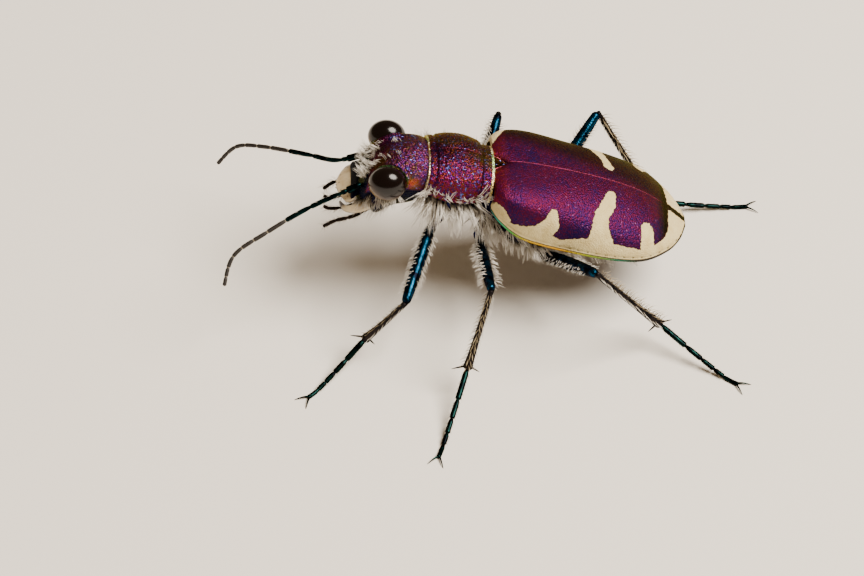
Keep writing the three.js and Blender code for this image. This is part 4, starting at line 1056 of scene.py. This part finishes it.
def ruff(surface, placed, shares, angles, count, length, lie, lift, fan, thick, place, rng):
    """Locks of hairs over a stretch of a segment. They rise from it and lie towards a direction, which fans
    out from the front of the stretch to its back. The hairs of a lock share most of their course."""
    lock = np.arange(count) // LOCK_HAIRS
    locks = lock[-1] + 1
    lock_share, lock_angle = rng.uniform(*shares, locks), rng.uniform(min(angles), max(angles), locks)
    share = np.clip(lock_share[lock] + rng.normal(0, 0.012, count), 0.001, 0.99)
    angle = lock_angle[lock] + rng.normal(0, 0.03, count)
    at = placed(surface(share, angle))
    along, round_it = placed(surface(share + 0.004, angle)) - at, placed(surface(share, angle + 0.01)) - at
    normal = unit(np.cross(along, round_it))
    normal *= -np.sign((normal * (placed(surface(share, angle, 0.1)) - at)).sum(axis=1, keepdims=True))
    reach = [(v - start) / (end - start) for v, (start, end) in ((share, shares), (angle, angles))]
    lying = np.array(lie) + np.outer((2 * reach[0] - 1) * fan, (0, 1, 0))
    ways = normal * lift + lying * (1 - lift) + rng.normal(0, 0.26, (locks, 3))[lock] + rng.normal(0, 0.07, (count, 3))
    lengths = length * rng.uniform(0.7, 1.1, locks)[lock] * rng.uniform(0.85, 1.1, count)
    bends = lying * 0.3 + rng.normal(0, 0.24, (locks, 3))[lock] + rng.normal(0, 0.06, (count, 3))
    places = place + RUFF_TILE * np.clip(np.stack(reach, -1), 0, 1)
    return [(at - normal * 0.01, ways, lengths, thick, bends, places)]


white_hair = hair_tones("white_hair", [(0.15, "#3E382F"), (1.0, "#F4F0E8"), (0.45, "#9A9284"), (0.7, "#D6D0C4")])
amber_bristle = hair_tones("amber_bristle", [(0.2, "#2A2218"), (1.0, "#BCAC88"), (0.6, "#74644A")])
rng = np.random.default_rng(11)
LEVEL = ((0, 0), (180, 180))
THIGH_HAIR, SHIN_HAIR = {"front": 0.33, "middle": 0.46, "hind": 0.36}, {"front": 0.2, "middle": 0.32, "hind": 0.5}
leg_hairs, leg_bristles = [], []
for number, leg in enumerate(STANCE):
    pair, side_name = leg.split("_")
    combed = ((25, 5), (150, 172), (125, 160), (100, 148))[: 2 if pair == "hind" else 4]
    shin_rows = ((60, 40), (85, 70), (130, 130))
    if side_name == "left":
        combed, shin_rows = (180 - np.array(rows) for rows in (combed, shin_rows))
    thigh, shin, foot, hair = thigh_lines[leg], shin_lines[leg], foot_lines[leg], THIGH_HAIR[pair]
    for hairs, limb, rows, spacing, length, lean, span, up, thick in (
        (leg_hairs, thigh, LEVEL, 0.13, hair, 0.3, (0.1, 0.88), 0.05, 0.022),
        (leg_hairs, thigh, combed, 0.17, 0.8 * hair, 0.4, (0.1, 0.8), 0.25, 0.018),
        (leg_hairs, thigh, ((-45, -35), (-135, -145)), 0.2, 0.85 * hair, 0.4, (0.1, 0.84), 0.25, 0.02),
        (leg_hairs, shin, LEVEL, 0.17, 0.3, 0.7, (0.05, 0.95), 0.45, 0.017),
        (leg_bristles, shin, shin_rows, 0.2, SHIN_HAIR[pair], 0.3, (0.05, 0.95), 0.45, 0.021),
        (leg_bristles, foot, LEVEL, 0.2, 0.17, 0.9, (0.05, 0.8), 0.65, 0.012),
    ):
        hairs += comb(*limb, rows, spacing, length, lean, rng, span, (0.1 + 0.15 * number, up), thick)
add_hairs("leg_hairs", leg_hairs, white_hair, "ivory_cuticle")
add_hairs("leg_bristles", leg_bristles, amber_bristle, "bronze_cuticle")

RUFFS = {  # surface, carrier, length's shares, left side's angles, hairs, length, lie, lift, fan, thickness, tile
    "thorax": (
        (neck_shield_point, on_prothorax, (0.01, 0.14), (1.25, 1.56), 60, 0.62, (0.5, -0.35, 0.8),
         0.4, 0.5, 0.014, 0.02),
        (neck_shield_point, on_prothorax, (0.14, 0.93), (1.38, 1.56), 120, 0.56, (0.35, 0.15, 0.9),
         0.4, 0.4, 0.014, 0.02),
        (partial(trunk_point, PROTHORAX_ROWS), on_prothorax, (0.02, 0.97), (1.7, 2.6), 380, 0.95, (0.75, 0, -0.6),
         0.45, 0.9, 0.022, 0.25),
        (partial(trunk_point, MESOTHORAX_ROWS), on_body, (0.0, 0.95), (1.7, 2.6), 260, 0.9, (0.6, 0.1, -0.75),
         0.45, 0.4, 0.022, 0.5),
        (partial(trunk_point, METATHORAX_ROWS), on_body, (0.02, 0.95), (1.65, 2.5), 300, 0.62, (0.5, 0.4, -0.6),
         0.4, 0.3, 0.022, 0.75),
        (partial(trunk_point, ABDOMEN_ROWS), on_body, (0.0, 0.55), (1.65, 2.3), 260, 0.42, (0.3, 0.7, -0.4),
         0.3, 0.2, 0.022, 0.75),
    ),
    "head": (
        (head_point, on_head, (0.72, 0.86), (0.15, 1.0), 110, 0.42, (0, -0.45, 0.85), 0.5, 0, 0.014, 0.02),
        (head_point, on_head, (0.60, 0.72), (0.1, 0.9), 50, 0.34, (0, -0.5, 0.6), 0.5, 0, 0.014, 0.25),
        (head_point, on_head, (0.42, 0.60), (0.1, 0.6), 15, 0.28, (0, -0.6, 0.6), 0.5, 0, 0.014, 0.75),
        (head_point, on_head, (0.35, 0.80), (2.0, 2.9), 150, 0.55, (0.5, -0.5, -0.6), 0.4, 0, 0.014, 0.5),
        (head_point, on_head, (0.40, 0.74), (1.75, 2.2), 110, 0.55, (0.65, -0.1, -0.75), 0.35, 0, 0.014, 0.6),
    ),
}
for region, ruffs in RUFFS.items():
    hairs = []
    for number, (side_name, side) in enumerate(SIDES.items()):
        for row, (surface, placed, shares, angles, count, length, lie, lift, fan, thick, u) in enumerate(ruffs):
            v = 0.5 * number + 0.02 + (0.01 * row if region == "thorax" else 0)
            hairs += ruff(
                surface, placed, shares, side * np.array(angles), count, length, np.array(lie) * (side, 1, 1),
                lift, fan, thick, (u, v), rng,
            )
        if region == "head":
            around, place = (*LEVEL, (-90, -90), (90, 90)), (0.8, 0.5 * number)
            for line, _, _ in PALPS.values():
                path = on_head(along_curve(np.array(line) * (side, 1, 1), 60))
                hairs += comb(path, np.full(60, 0.09), around, 0.16, 0.4, 0.5, rng, place=place, thick=0.014)
            feeler, place = feeler_paths["base", side_name], (0.8, 0.5 * number + 0.2)
            hairs += comb(*feeler, around, 0.5, 0.16, 0.9, rng, place=place, thick=0.009)
    add_hairs(f"{region}_hairs", hairs, white_hair, "ivory_cuticle")
